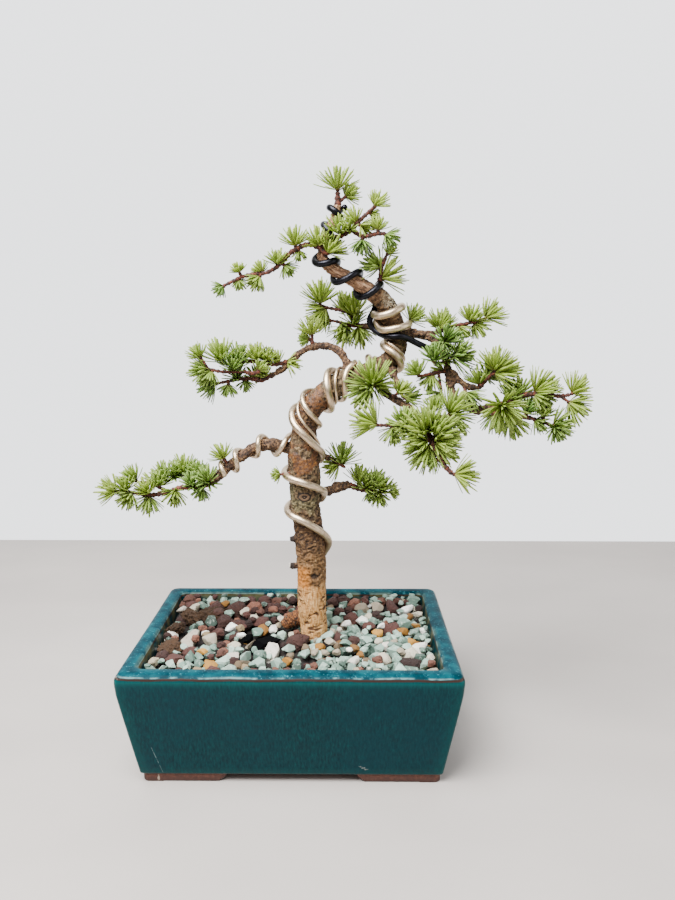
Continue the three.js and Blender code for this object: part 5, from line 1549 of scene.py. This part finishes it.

# %% [markdown]
# ## Sprays of needles
#
# Larch needles grow in tufts: 20 to 50 soft flat needles fan out of one stubby bud, shorter at the
# tips of weak shoots. Each spray below lists its red-brown stems and its tufts, and every tuft spreads
# its needles evenly over a wide cap, the way seeds sit on a sunflower. Small tufts that the list
# doesn't name fill the stems between them. A needle that would pass through wood, wire or a stem is
# shortened, or left out.

# %% Routes and tufts
# stems: [route of [x, y, z], root radius, tip radius]. tufts: [stem, percent along it, clock, front,
# reach, spur, age]. Clock is the way the tuft points seen from the front, 0 right and 90 up; front is
# how many degrees it leans to the front; reach is its longest needle and spur the bare shoot under it,
# in mm. Age runs from 0, young and yellow-green, to 1, old and dark, and also carries painted light:
# some tufts lit from above are listed young and light. Where it is left out, it follows from the tuft's
# direction and height as painted light and shade. The solid of a spray is called needles_ and its name.
SPRAYS = {
    "apex": {
        "stems": [[[[27, 0, 337], [27, 0, 342], [27, 0, 346]], 2.0, 1.2]],
        "tufts": [[0, 100, 90, 0, 14, 0], [0, 26, 40, -5, 9, 5]],
    },
    "crown_right": {
        "stems": [
            [[[23, -3, 318], [29, -6, 320], [35, -9, 323], [41, -10, 329], [48, -12, 335]], 1.6, 0.9],
            [[[35, -9, 323], [42, -12, 319], [50, -14, 320], [55, -15, 320]], 1.4, 0.9],
        ],
        "tufts": [
            [0, 20, 105, 25, 12, 0], [0, 58, 120, -5, 9, 0], [0, 100, 55, 0, 9, 0], [0, 86, 0, -25, 5, 1],
            [0, 60, -30, 10, 9, 1], [1, 79, 90, 0, 8, 1], [1, 95, -35, 10, 9, 0], [1, 37, -95, 0, 9, 1],
        ],
    },
    "upper_left": {
        "stems": [[[
            [21, -9, 309], [16, -8, 313], [10, -7, 315], [0, -6, 311], [-7, -5, 304], [-15, -6, 299],
            [-28, -7, 297], [-41, -8, 291],
        ], 1.6, 0.9]],
        "tufts": [
            [0, 0, 55, 25, 12, 0], [0, 9, 100, 15, 11, 0], [0, 30, 95, 0, 11, 1], [0, 27, -90, -20, 6, 1],
            [0, 51, 90, 10, 9, 0], [0, 46, -50, -10, 8, 1], [0, 65, 125, -20, 7, 0],
            [0, 66, -125, 10, 9, 1], [0, 83, 115, 5, 6, 2], [0, 86, -80, -20, 6, 0],
            [0, 99, 215, 0, 7, 0],
        ],
    },
    "crown_spur": {
        "stems": [[[[50, 0, 289], [53, -2, 297], [53, -3, 301], [55, -3, 306], [56, -4, 309]], 1.6, 0.9]],
        "tufts": [[0, 100, 50, 0, 7, 0], [0, 63, 155, 10, 12, 0], [0, 30, 35, -5, 15, 0]],
    },
    "back_left": {
        "stems": [
            [[[41, 20, 268], [35, 23, 268], [28, 26, 270], [23, 28, 271]], 1.4, 0.8],
            [[[39, 21, 268], [33, 21, 276], [26, 23, 278], [21, 25, 279], [15, 26, 281]], 1.2, 0.8],
        ],
        "tufts": [
            [1, 98, 95, 0, 15, 0, 0.05], [1, 83, -140, -5, 14, 0, 0.05], [1, 8, 95, 10, 15, 3, 0.1],
            [0, 45, -110, 0, 12, 1, 0.2], [0, 6, -75, 10, 13, 0, 0.4], [0, 100, 180, -5, 10, 0, 0.05],
            [1, 50, 60, -40, 11, 0, 0.1], [0, 25, 80, 30, 10, 0, 0.2], [0, 70, -60, 10, 10, 0, 0.2],
        ],
    },
    "right_spur": {
        "stems": [[[[72, 9, 263], [72, 13, 270]], 1.1, 0.9]],
        "tufts": [[0, 100, 50, -10, 11, 0]],
    },
    "right_upper": {
        "stems": [[[[87, 9, 263], [95, 8, 266], [101, 7, 268], [107, 6, 269], [118, 5, 272]], 1.4, 0.9]],
        "tufts": [
            [0, 10, 82, 0, 13, 0, 0.1], [0, 48, -50, -5, 9, 0, 0.2], [0, 70, 75, 15, 11, 0, 0.1],
            [0, 78, -40, -15, 10, 0, 0.15], [0, 98, 40, 0, 13, 0, 0.05], [0, 24, 110, -45, 10, 0, 0.3],
        ],
    },
    "bend_top": {
        "stems": [[[[89, 5, 256], [95, 0, 258]], 1.1, 0.9]],
        "tufts": [[0, 60, 60, 66, 12, 0, 0.65]],
    },
    "bend_side": {
        "stems": [[[[93, 2, 249], [101, -2, 249]], 1.1, 0.9]],
        "tufts": [[0, 40, 8, 25, 14, 0, 0.6], [0, 100, 60, 20, 10, 0, 0.45]],
    },
    "bend_left": {
        "stems": [[[[94, 1, 246], [88, -4, 245], [84, -4, 248]], 1.1, 0.9]],
        "tufts": [[0, 75, 95, 35, 11, 0, 0.75]],
    },
    "red_twig": {
        "stems": [
            [[[95, 0, 240], [85, -5, 239], [76, -7, 237]], 1.1, 0.7],
            [[[89, -3, 239], [90, -5, 232], [91, -6, 228]], 0.9, 0.7],
        ],
        "tufts": [
            [0, 55, -98, -10, 10, 0, 0.2], [1, 100, -130, -5, 10, 0, 0.6], [0, 96, 118, 5, 10, 0, 0.3],
        ],
    },
    "right_inner": {
        "stems": [[[[114, -5, 230], [118, -8, 236], [122, -10, 240]], 1.3, 1.0]],
        "tufts": [
            [0, 100, 95, 0, 14, 0, 0.1], [0, 90, 8, 15, 16, 0, 0.15], [0, 2, 98, -5, 11, 1, 0.3],
            [0, 55, 50, -50, 11, 0, 0.5],
        ],
    },
    "inner_spur": {
        "stems": [[[[105, -3, 231], [105, -9, 227]], 1.0, 0.8]],
        "tufts": [[0, 70, -65, 25, 13, 0, 0.55]],
    },
    "right_front": {
        "stems": [[[[123, -9, 219], [125, -18, 221]], 1.1, 0.9]],
        "tufts": [[0, 100, -90, 72, 16, 0, 0.3]],
    },
    "right_outer": {
        "stems": [
            [[
                [125, -9, 219], [136, -11, 225], [146, -12, 227], [161, -14, 226], [167, -15, 227],
            ], 1.8, 0.9],
            [[[161, -14, 226], [165, -16, 223]], 1.0, 0.8],
        ],
        "tufts": [
            [0, 49, 40, 5, 15, 1, 0.1], [0, 100, 50, 0, 13, 0, 0.05], [1, 95, -35, 5, 14, 0, 0.2],
            [0, 62, -70, -40, 10, 0, 0.4], [0, 30, 80, -45, 12, 0, 0.4], [0, 16, 70, 20, 12, 0, 0.4],
            [0, 50, -30, 20, 12, 0, 0.3], [0, 72, 85, 0, 9, 0, 0.2],
        ],
    },
    "right_low": {
        "stems": [[[
            [119, -8, 217], [128, -10, 213], [137, -12, 214], [149, -14, 211], [157, -17, 208],
        ], 1.8, 0.9]],
        "tufts": [
            [0, 100, -60, 66, 10, 0, 0.7], [0, 82, 75, 0, 9, 2, 0.3], [0, 57, 75, 10, 10, 1, 0.75],
            [0, 34, -65, 0, 13, 0, 0.4], [0, 97, 15, 10, 12, 0, 0.5], [0, 16, 20, 15, 11, 0, 0.4],
            [0, 8, -70, -10, 11, 0, 0.5], [0, 70, -40, 20, 9, 0, 0.5],
        ],
    },
    "front_root": {
        "stems": [[[[51, -6, 233], [48, -17, 232]], 1.2, 1.0]],
        "tufts": [[0, 100, 98, 28, 16, 0, 0.15], [0, 96, 212, 32, 15, 0, 0.3], [0, 80, 0, 20, 11, 0, 0.3]],
    },
    "back_bend": {
        "stems": [[[[66, 0, 229], [68, 1, 223]], 1.2, 0.9]],
        "tufts": [[0, 100, 10, -20, 10, 0]],
    },
    "front_knuckle": {
        "stems": [[[[60, -16, 225], [62, -23, 228]], 1.0, 0.8]],
        "tufts": [[0, 100, 45, 20, 9, 0]],
    },
    "front": {
        "stems": [
            [[
                [77, -32, 214], [78, -43, 209], [79, -52, 205], [84, -57, 195], [87, -60, 191],
                [90, -62, 188],
            ], 1.7, 1.15],
            [[[78, -36, 212], [65, -40, 211], [55, -42, 212], [49, -43, 212]], 1.2, 0.8],
            [[[78, -35, 213], [84, -38, 216], [92, -41, 218]], 1.2, 0.8],
        ],
        "tufts": [
            [0, 44, 140, 5, 17, 2, 0.1], [0, 49, 52, 5, 16, 2, 0.15], [0, 52, -125, 10, 15, 1, 0.3],
            [0, 52, -30, 12, 14, 1, 0.15], [0, 40, 95, 30, 13, 3, 0.1], [0, 100, -4, 0, 13, 0, 0.05],
            [0, 50, 8, 20, 14, 1, 0.15], [0, 49, 184, 15, 13, 1, 0.3],
            [1, 96, 155, 5, 15, 0, 0.1], [1, 46, 95, 60, 12, 0, 0.35], [1, 66, -95, 0, 10, 0, 0.4],
            [2, 34, 95, 0, 9, 3, 0.3], [2, 88, 60, 10, 15, 0, 0.15], [2, 90, -50, 15, 13, 0, 0.25],
        ],
    },
    "mid_left_low": {
        "stems": [[[
            [-15, 5, 237], [-21, 3, 234], [-27, 2, 235], [-33, 1, 235], [-39, 0, 234], [-50, -1, 232],
        ], 1.5, 0.8]],
        "tufts": [
            [0, 95, 200, 20, 11, 0, 0.7], [0, 74, -100, -10, 8, 1], [0, 46, -85, 5, 7, 0],
            [0, 28, 100, -50, 9, 0], [0, 60, 95, 35, 9, 0, 0.6],
        ],
    },
    "mid_left_top": {
        "stems": [
            [[
                [-3, 7, 246], [-11, 3, 244], [-19, 1, 245], [-29, 0, 246], [-38, -1, 244], [-45, -2, 245],
            ], 1.4, 0.8],
            [[[-16, 2, 244], [-24, -5, 239], [-31, -6, 240], [-44, -7, 240], [-52, -8, 242]], 1.2, 0.8],
        ],
        "tufts": [
            [0, 7, -12, 10, 10, 0, 0.1], [0, 17, 118, 0, 8, 0, 0.2], [0, 35, 84, 5, 9, 0, 0.15],
            [0, 49, 94, 0, 11, 0, 0.1], [0, 76, 80, 15, 11, 0, 0.5], [0, 98, 98, 15, 14, 0, 0.15],
            [1, 62, 85, 20, 11, 0, 0.6], [1, 100, 122, 0, 9, 7, 0.15], [1, 99, 188, 12, 11, 0, 0.4],
            [1, 92, -128, 15, 10, 0, 0.5], [1, 24, 60, -20, 8, 0, 0.2],
        ],
    },
    "arch": {
        "stems": [[[[11, 8, 256], [11, 8, 261]], 1.2, 0.9]],
        "tufts": [[0, 100, 100, 0, 11, 0], [0, 60, 175, -30, 7, 1]],
    },
    "lower_left_spur": {
        "stems": [[[[-41, -7, 182], [-44, -9, 187]], 1.1, 0.9]],
        "tufts": [[0, 70, 118, 0, 10, 0, 0.1]],
    },
    "lower_left": {
        "stems": [
            [[
                [-49, -8, 173], [-55, -9, 170], [-62, -10, 169], [-71, -10, 168], [-80, -11, 165],
                [-91, -12, 164], [-104, -12, 166], [-112, -13, 166],
            ], 2.2, 0.8],
            [[[-54, -8, 170], [-61, -3, 174], [-71, 0, 174], [-82, -1, 170]], 1.2, 0.8],
            [[[-79, -11, 166], [-91, -6, 170], [-99, -6, 171]], 1.1, 0.7],
        ],
        "tufts": [
            [0, 8, 92, 42, 11, 0, 0.55], [0, 14, -100, 10, 8, 1, 0.6], [1, 26, 118, 0, 10, 0, 0.5],
            [1, 60, 95, 5, 12, 0, 0.35], [1, 82, 75, 25, 10, 0, 0.6], [1, 44, 60, 35, 9, 0, 0.7],
            [1, 100, 112, 10, 12, 0, 0.35],
            [0, 40, -95, 52, 10, 0, 0.2], [2, 100, 135, 5, 11, 0, 0.3], [2, 30, 85, 10, 9, 0, 0.4],
            [0, 66, 108, 15, 10, 0, 0.1], [0, 96, 162, 10, 12, 0, 0.05], [0, 82, -125, 40, 10, 0, 0.3],
            [0, 66, -100, 5, 11, 0, 0.2], [0, 24, 75, 40, 9, 0, 0.7], [0, 88, 100, 20, 10, 0, 0.2],
        ],
    },
    "lower_right": {
        "stems": [[[[34, 22, 163], [44, 24, 159], [55, 25, 157], [61, 26, 157]], 1.9, 0.9]],
        "tufts": [
            [0, 24, 80, 0, 12, 3, 0.2], [0, 60, 68, 5, 13, 2, 0.35], [0, 76, -80, 5, 9, 0, 0.2],
            [0, 100, 5, 0, 7, 0, 0.1], [0, 42, 85, 30, 11, 1, 0.35], [0, 84, 85, 30, 11, 0, 0.35],
            [0, 50, -60, 20, 7, 0, 0.3],
        ],
    },
    "lower_right_top": {
        "stems": [[[[25, 18, 180], [32, 20, 175]], 1.4, 0.9]],
        "tufts": [[0, 60, 84, 10, 14, 0, 0.35], [0, 50, 192, 8, 11, 0, 0.2]],
    },
    "trunk_shoot": {
        "stems": [[[[0, -3, 176], [-8, -6, 176]], 1.0, 0.8]],
        "tufts": [[0, 100, 185, 5, 6, 0]],
    },
}
print("sprays:", len(SPRAYS))

# %% Needle and twig finishes
# A soft leaf is thin and full of water: a satin skin, with nearly half of the light coming through it.
THROUGH = 0.45
needle_finish, add = new_finish("soft_larch_needles")
length_share, tuft_age_and_light = (add("Attribute", attribute_name=name)["Fac"] for name in ("along", "tint"))
# Needles are paler at the foot: partly their own colour, partly painted light that lifts the shade inside a
# tuft.
young, old = (add("ValToRGB", {"Fac": length_share}, stops=stops)["Color"] for stops in (
    [(0.0, "#cfc878"), (0.2, "#9db044"), (0.7, "#a1b84a"), (1.0, "#abbb62")],
    [(0.0, "#99a455"), (0.22, "#568038"), (0.75, "#649044"), (1.0, "#789f55")],
))
place = add("TexCoord")["Object"]
drift = add("TexNoise", {"Vector": place, "Scale": 300, "Detail": 2})["Fac"]
patch = add("MapRange", dict(zip(SPAN, (drift, 0.4, 0.7, 0, 0.35))))["Result"]
green = coats(add, young, [(old, tuft_age_and_light), ("#c4d07c", patch)])
through = add("BsdfTranslucent", {"Color": green})["BSDF"]
leaf = add("BsdfPrincipled", {"Base Color": green, "Roughness": 0.48, "IOR": 1.42})["BSDF"]
shader = add("MixShader", {0: THROUGH, 1: leaf, 2: through})["Shader"]
add("OutputMaterial", {"Surface": shader})

# Young larch bark is thin, scaly and red-brown, with hardly a shine.
twig_finish = grainy("red_brown_twig_bark", {"Scale": 650, "Detail": 4, "Roughness": 0.7}, [
    (0.36, "#120806"), (0.48, "#3a180f"), (0.6, "#6a2f1a"), (0.74, "#97603f"),
], 0.75, relief=(0.6, 0.0005))
print("finishes:", needle_finish.name, twig_finish.name)

# %% One needle
# Width in mm and what each mm of length adds to it, thickness as a share of the width, how far the tuft
# fans out in degrees, the shortest as a share of the longest, and how far they stray and droop.
NEEDLE = {
    "wide": 1.05, "widens": 0.05, "thick": 0.5, "fan": 70, "shortest": 0.82, "stray": 0.1, "droop": 0.10,
}
STATIONS = np.array([0.0, 0.22, 0.62, 0.94])  # shares of its length where it has a ring of three points
WIDTHS = np.array([0.5, 0.86, 1.0, 0.76])
SECTION = np.array([(-0.5, 0.12), (0.5, 0.12), (0.0, -0.88)])  # flat above, keeled below
NEEDLE_SHARES = np.append(np.repeat(STATIONS, 3), 1.0)


def needles(feet, ways, lengths, flats, bends):
    """Flat tapering needles, all at once: feet, ways, lengths, the way each is flat to, and bends."""
    sides = unit(np.cross(ways, flats))
    tops = np.cross(sides, ways)
    sides = sides * (NEEDLE["wide"] + NEEDLE["widens"] * lengths)[:, None]
    rings = []
    for share, width in zip(STATIONS, WIDTHS):
        middle = feet + ways * (lengths * share)[:, None] + bends * (lengths * share ** 2)[:, None]
        rings.append(middle[:, None] + width * (
            sides[:, None] * SECTION[:, 0, None]
            + tops[:, None] * SECTION[:, 1, None] * NEEDLE["thick"]
        ))
    tips = feet + ways * lengths[:, None] + bends * lengths[:, None]
    points = np.concatenate([np.stack(rings, 1).reshape(len(feet), -1, 3), tips[:, None]], 1)
    tip = len(NEEDLE_SHARES) - 1
    faces = [(2, 1, 0)]
    for row in range(len(STATIONS) - 1):
        for side in range(3):
            a, b = row * 3 + side, row * 3 + (side + 1) % 3
            faces += [(a, b, b + 3), (a, b + 3, a + 3)]
    faces += [(tip - 3 + side, tip - 3 + (side + 1) % 3, tip) for side in range(3)]
    starts = np.arange(len(feet)) * len(NEEDLE_SHARES)
    triangles = (starts[:, None, None] + np.array(faces)).reshape(-1, 3)
    return points.reshape(-1, 3), triangles


print("points of a needle:", len(NEEDLE_SHARES))

# %% One tuft
GOLDEN = 0.381966  # of a turn from each needle to the next, as seeds sit on a sunflower
BARE_FOOT = 0.7  # mm of each needle's length that its bud hides
SAG = 0.02  # of its length, how far its own weight pulls the tip down
FROM_OWN, FROM_OTHERS = -0.1, 0.45  # mm kept from its own stem, and from wood, wires and other stems
CUTS = (1, 0.85, 0.7)  # shares of its length that a needle may be cut back to
PROBED = np.linspace(0.3, 1, 7)  # shares of its length where room is looked for


def cap_ways(axis, count, fan, dice):
    """Directions spread evenly over a cap round the axis, out to the fan's angle."""
    order = (np.arange(count) + 0.5) / count
    lift = 1 - order * (1 - math.cos(math.radians(fan)))
    turn = np.arange(count) * TURN * GOLDEN + dice.uniform(0, TURN)
    side = unit(np.cross(axis, [0.31, 0.17, 0.93] if abs(axis[2]) < 0.9 else [1.0, 0.2, 0.1]))
    up = np.cross(axis, side)
    flat = np.sqrt(1 - lift ** 2)
    round_axis = side * np.cos(turn)[:, None] + up * np.sin(turn)[:, None]
    ways = axis * lift[:, None] + round_axis * flat[:, None]
    return unit(ways + dice.normal(0, NEEDLE["stray"], (count, 3)))


def tuft(centre, axis, reach, count, others, own, dice):
    """A tuft's needles, cut back where they would meet something."""
    ways = cap_ways(axis, count, NEEDLE["fan"], dice)
    lengths = reach * dice.uniform(NEEDLE["shortest"], 1, count)
    feet = centre + ways * BARE_FOOT
    lengths = np.maximum(lengths - BARE_FOOT, 1)
    bends = axis * NEEDLE["droop"] * dice.uniform(0.2, 1.4, count)[:, None] + [0, 0, -SAG]
    keep = np.zeros(count)
    others, own = near(centre, reach * 1.2 + 2, others), near(centre, reach * 1.2 + 2, own)
    for cut in CUTS:
        spots = feet[:, None] + ways[:, None] * (lengths[:, None] * cut * PROBED)[..., None]
        spots = spots + bends[:, None] * (lengths[:, None] * cut * PROBED ** 2)[..., None]
        spots = spots.reshape(-1, 3)
        free = clearance(spots, own)[0] > FROM_OWN
        if len(others[0]):
            free &= clearance(spots, others)[0] > FROM_OTHERS
        inside = (metres(spots) > box_low).all(1) & (metres(spots) < box_high).all(1)
        whole = (free & inside).reshape(count, -1).all(1)
        keep = np.where((keep == 0) & whole, cut, keep)
    kept = keep > 0
    ways, lengths, feet, bends = ways[kept], (lengths * keep)[kept], feet[kept], bends[kept]
    flats = unit(axis + 0.01 - ways * ((axis + 0.01) @ ways.T)[:, None])
    return needles(feet, ways, lengths, flats, bends) if kept.any() else None


print("a needle may be cut back to", CUTS[-1], "of its length")

# %% Stems and buds
box_low, box_high = (np.array(side) for side in cad_box)
STEM_STEPS = 8  # from one listed place to the next
STEMS = {}
for name, plan in SPRAYS.items():
    STEMS[name] = []
    for rows, root, tip in plan["stems"]:
        knots = np.linspace(0, len(rows) - 1, (len(rows) - 1) * STEM_STEPS + 1)
        STEMS[name].append((smooth_line(rows, knots), np.interp(knots, [0, len(rows) - 1], [root, tip])))
STEM_BARS = {name: gathered([bars_of(*stem) for stem in stems]) for name, stems in STEMS.items()}
bud_ball, bud_faces = ball(2)


def bud(centre, axis, size):
    """A squat scaly bud."""
    squeeze = bud_ball - np.outer(bud_ball @ axis, axis) * 0.25
    scales = 1 + 0.12 * np.sin(bud_ball[:, 2] * 9 + bud_ball[:, 0] * 7)
    return centre + squeeze * size * scales[:, None], bud_faces


TWIG_STEP, TWIG_SIDES = 0.7, 9  # mm from ring to ring, and points in a ring
SCAR_STEP, SCAR_SWELL = 3.1, 0.42  # mm from one leaf scar to the next, and how much it swells the twig
UNEVEN = 0.06  # mm


def stem_shape(stem, dice):
    """A twig, thickened in rings where buds and old leaf scars sit."""
    centres, radii = stem
    lengths = lengths_along(centres)
    steps = np.linspace(0, lengths[-1], max(int(lengths[-1] / TWIG_STEP), 6))
    line = read_off(steps, lengths, centres)
    around = np.interp(steps, lengths, radii)
    beat = np.abs(np.sin(steps / SCAR_STEP * np.pi + dice.uniform(0, 3))) ** 8
    around = around * (1.0 + SCAR_SWELL * beat + dice.normal(0, 0.05, len(steps)))
    around[0] *= 0.9
    around[-1] *= 0.6
    rings = sweep(line, around, TWIG_SIDES)
    return skin(rings + dice.normal(0, UNEVEN, rings.shape))


def at_percent(stem, percent):
    """The place this far along a stem, the stem's way there and its whole length."""
    centres, _ = stem
    lengths = lengths_along(centres)
    spot = lengths[-1] * percent / 100
    ways = np.gradient(centres, axis=0)
    return read_off(spot, lengths, centres), unit(read_off(spot, lengths, ways)), lengths[-1]


print("stems:", sum(len(stems) for stems in STEMS.values()))

# %% Whole sprays
LONGER_REACH = 1.13  # needles bend, so they are made this much longer than their reach
FEWEST, MORE = 24, 1.7  # needles of a listed tuft, and more for each mm of its reach
BUD_LARGE, BUD_SMALL, WEAK = 1.25, 0.95, 7.5  # radii of buds, and the reach from which they are large
BUD_OUT = 0.9  # mm from the middle of the stem
SPUR = np.array([1.0, 0.95, 1.05, 0.95, 0.9])  # radii of a bare shoot, in mm
FILL_STEP, ROOM_FOR_TUFT = 10, 5  # mm between the small tufts, and from them to the listed ones
SHORT_STEM = 12  # mm, too short for more than its listed tufts
BUD_TURN = 0.382  # of a turn round the stem from each small tuft to the next
WEAK_REACH, WEAK_NEEDLES, WEAK_SPUR = (7.0, 10.0), (18, 26), 0.3  # of the small tufts


def grow(name, plan, dice):
    """One spray as one piece: stems, spurs and buds in twig bark, needles in green."""
    others = gathered([WOOD_BARS, WIRE_BARS] + [bars for owner, bars in STEM_BARS.items() if owner != name])
    own = STEM_BARS[name]
    stems = STEMS[name]
    woody = [stem_shape(stem, dice) for stem in stems]
    green, tint = [], []
    listed = []
    for stem, percent, clock, front, reach, spur, *age in plan["tufts"]:
        foot, _, _ = at_percent(stems[stem], percent)
        turn, tilt = math.radians(clock), math.radians(front)
        axis = np.array([
            math.cos(turn) * math.cos(tilt), -math.sin(tilt), math.sin(turn) * math.cos(tilt),
        ])
        listed.append((foot, axis, reach * LONGER_REACH, spur, int(FEWEST + reach * MORE), age))
    spots = [foot for foot, *_ in listed]
    # Weak tufts between the listed ones, turning round the stem as buds do.
    for stem in stems:
        _, _, length = at_percent(stem, 0)
        turn = dice.uniform(0, TURN)
        for percent in np.arange(8, 97, 100 * FILL_STEP / max(length, 8)):
            foot, way, _ = at_percent(stem, percent)
            turn += TURN * BUD_TURN + dice.normal(0, 0.3)
            if length < SHORT_STEM or min(np.linalg.norm(foot - spot) for spot in spots) < ROOM_FOR_TUFT:
                continue
            right, ahead = (side[0] for side in sideways(way[None]))
            axis = unit(right * math.cos(turn) + ahead * math.sin(turn) + way * 0.35 + [0, 0, 0.6])
            reach = dice.uniform(*WEAK_REACH)
            listed.append((foot, axis, reach, WEAK_SPUR, int(dice.integers(*WEAK_NEEDLES)), []))
            spots.append(foot)
    for foot, axis, reach, spur, count, age in listed:
        centre = foot + axis * (BUD_OUT + spur)
        if spur > 0.5:
            line = foot + (centre - foot) * np.linspace(0, 1, len(SPUR))[:, None]
            woody.append(skin(sweep(line, SPUR, 8)))
        woody.append(bud(centre - axis * 0.2, axis, BUD_LARGE if reach > WEAK else BUD_SMALL))
        grown = tuft(centre, axis, reach, count, others, own, dice)
        if grown is not None:
            green.append(grown)
            # Painted light and shade: tufts that point up, and most of all the crown's, are made younger and
            # lighter as if lit from above; tufts that point down are made older and darker.
            painted_light_age = 0.38 - axis[2] * 0.3 - 0.25 * between(centre[2], 270, 310)
            shade = np.clip(dice.normal(age[0] if age else painted_light_age, 0.08 if age else 0.22), 0, 1)
            tint.append(np.full(len(grown[0]), shade))
    woody_shape, green_shape = merged(woody), merged(green)
    shape = merged([woody_shape, green_shape])
    piece = mesh_object("spray_" + name, *shape, [twig_finish, needle_finish])
    kinds = np.repeat([0, 1], [len(woody_shape[1]), len(green_shape[1])]).astype(np.int32)
    piece.data.polygons.foreach_set("material_index", kinds)
    count = len(green_shape[0]) // len(NEEDLE_SHARES)
    along = np.tile(NEEDLE_SHARES, count)
    paint(piece, "along", np.concatenate([np.zeros(len(woody_shape[0])), along]))
    paint(piece, "tint", np.concatenate([np.zeros(len(woody_shape[0])), *tint]))
    finish_piece(piece, "needles_" + name)
    return len(listed), count


dice = new_dice(7331)
totals = np.array([grow(name, plan, dice) for name, plan in SPRAYS.items()]).sum(0)
print("tufts:", totals[0], "needles:", totals[1])
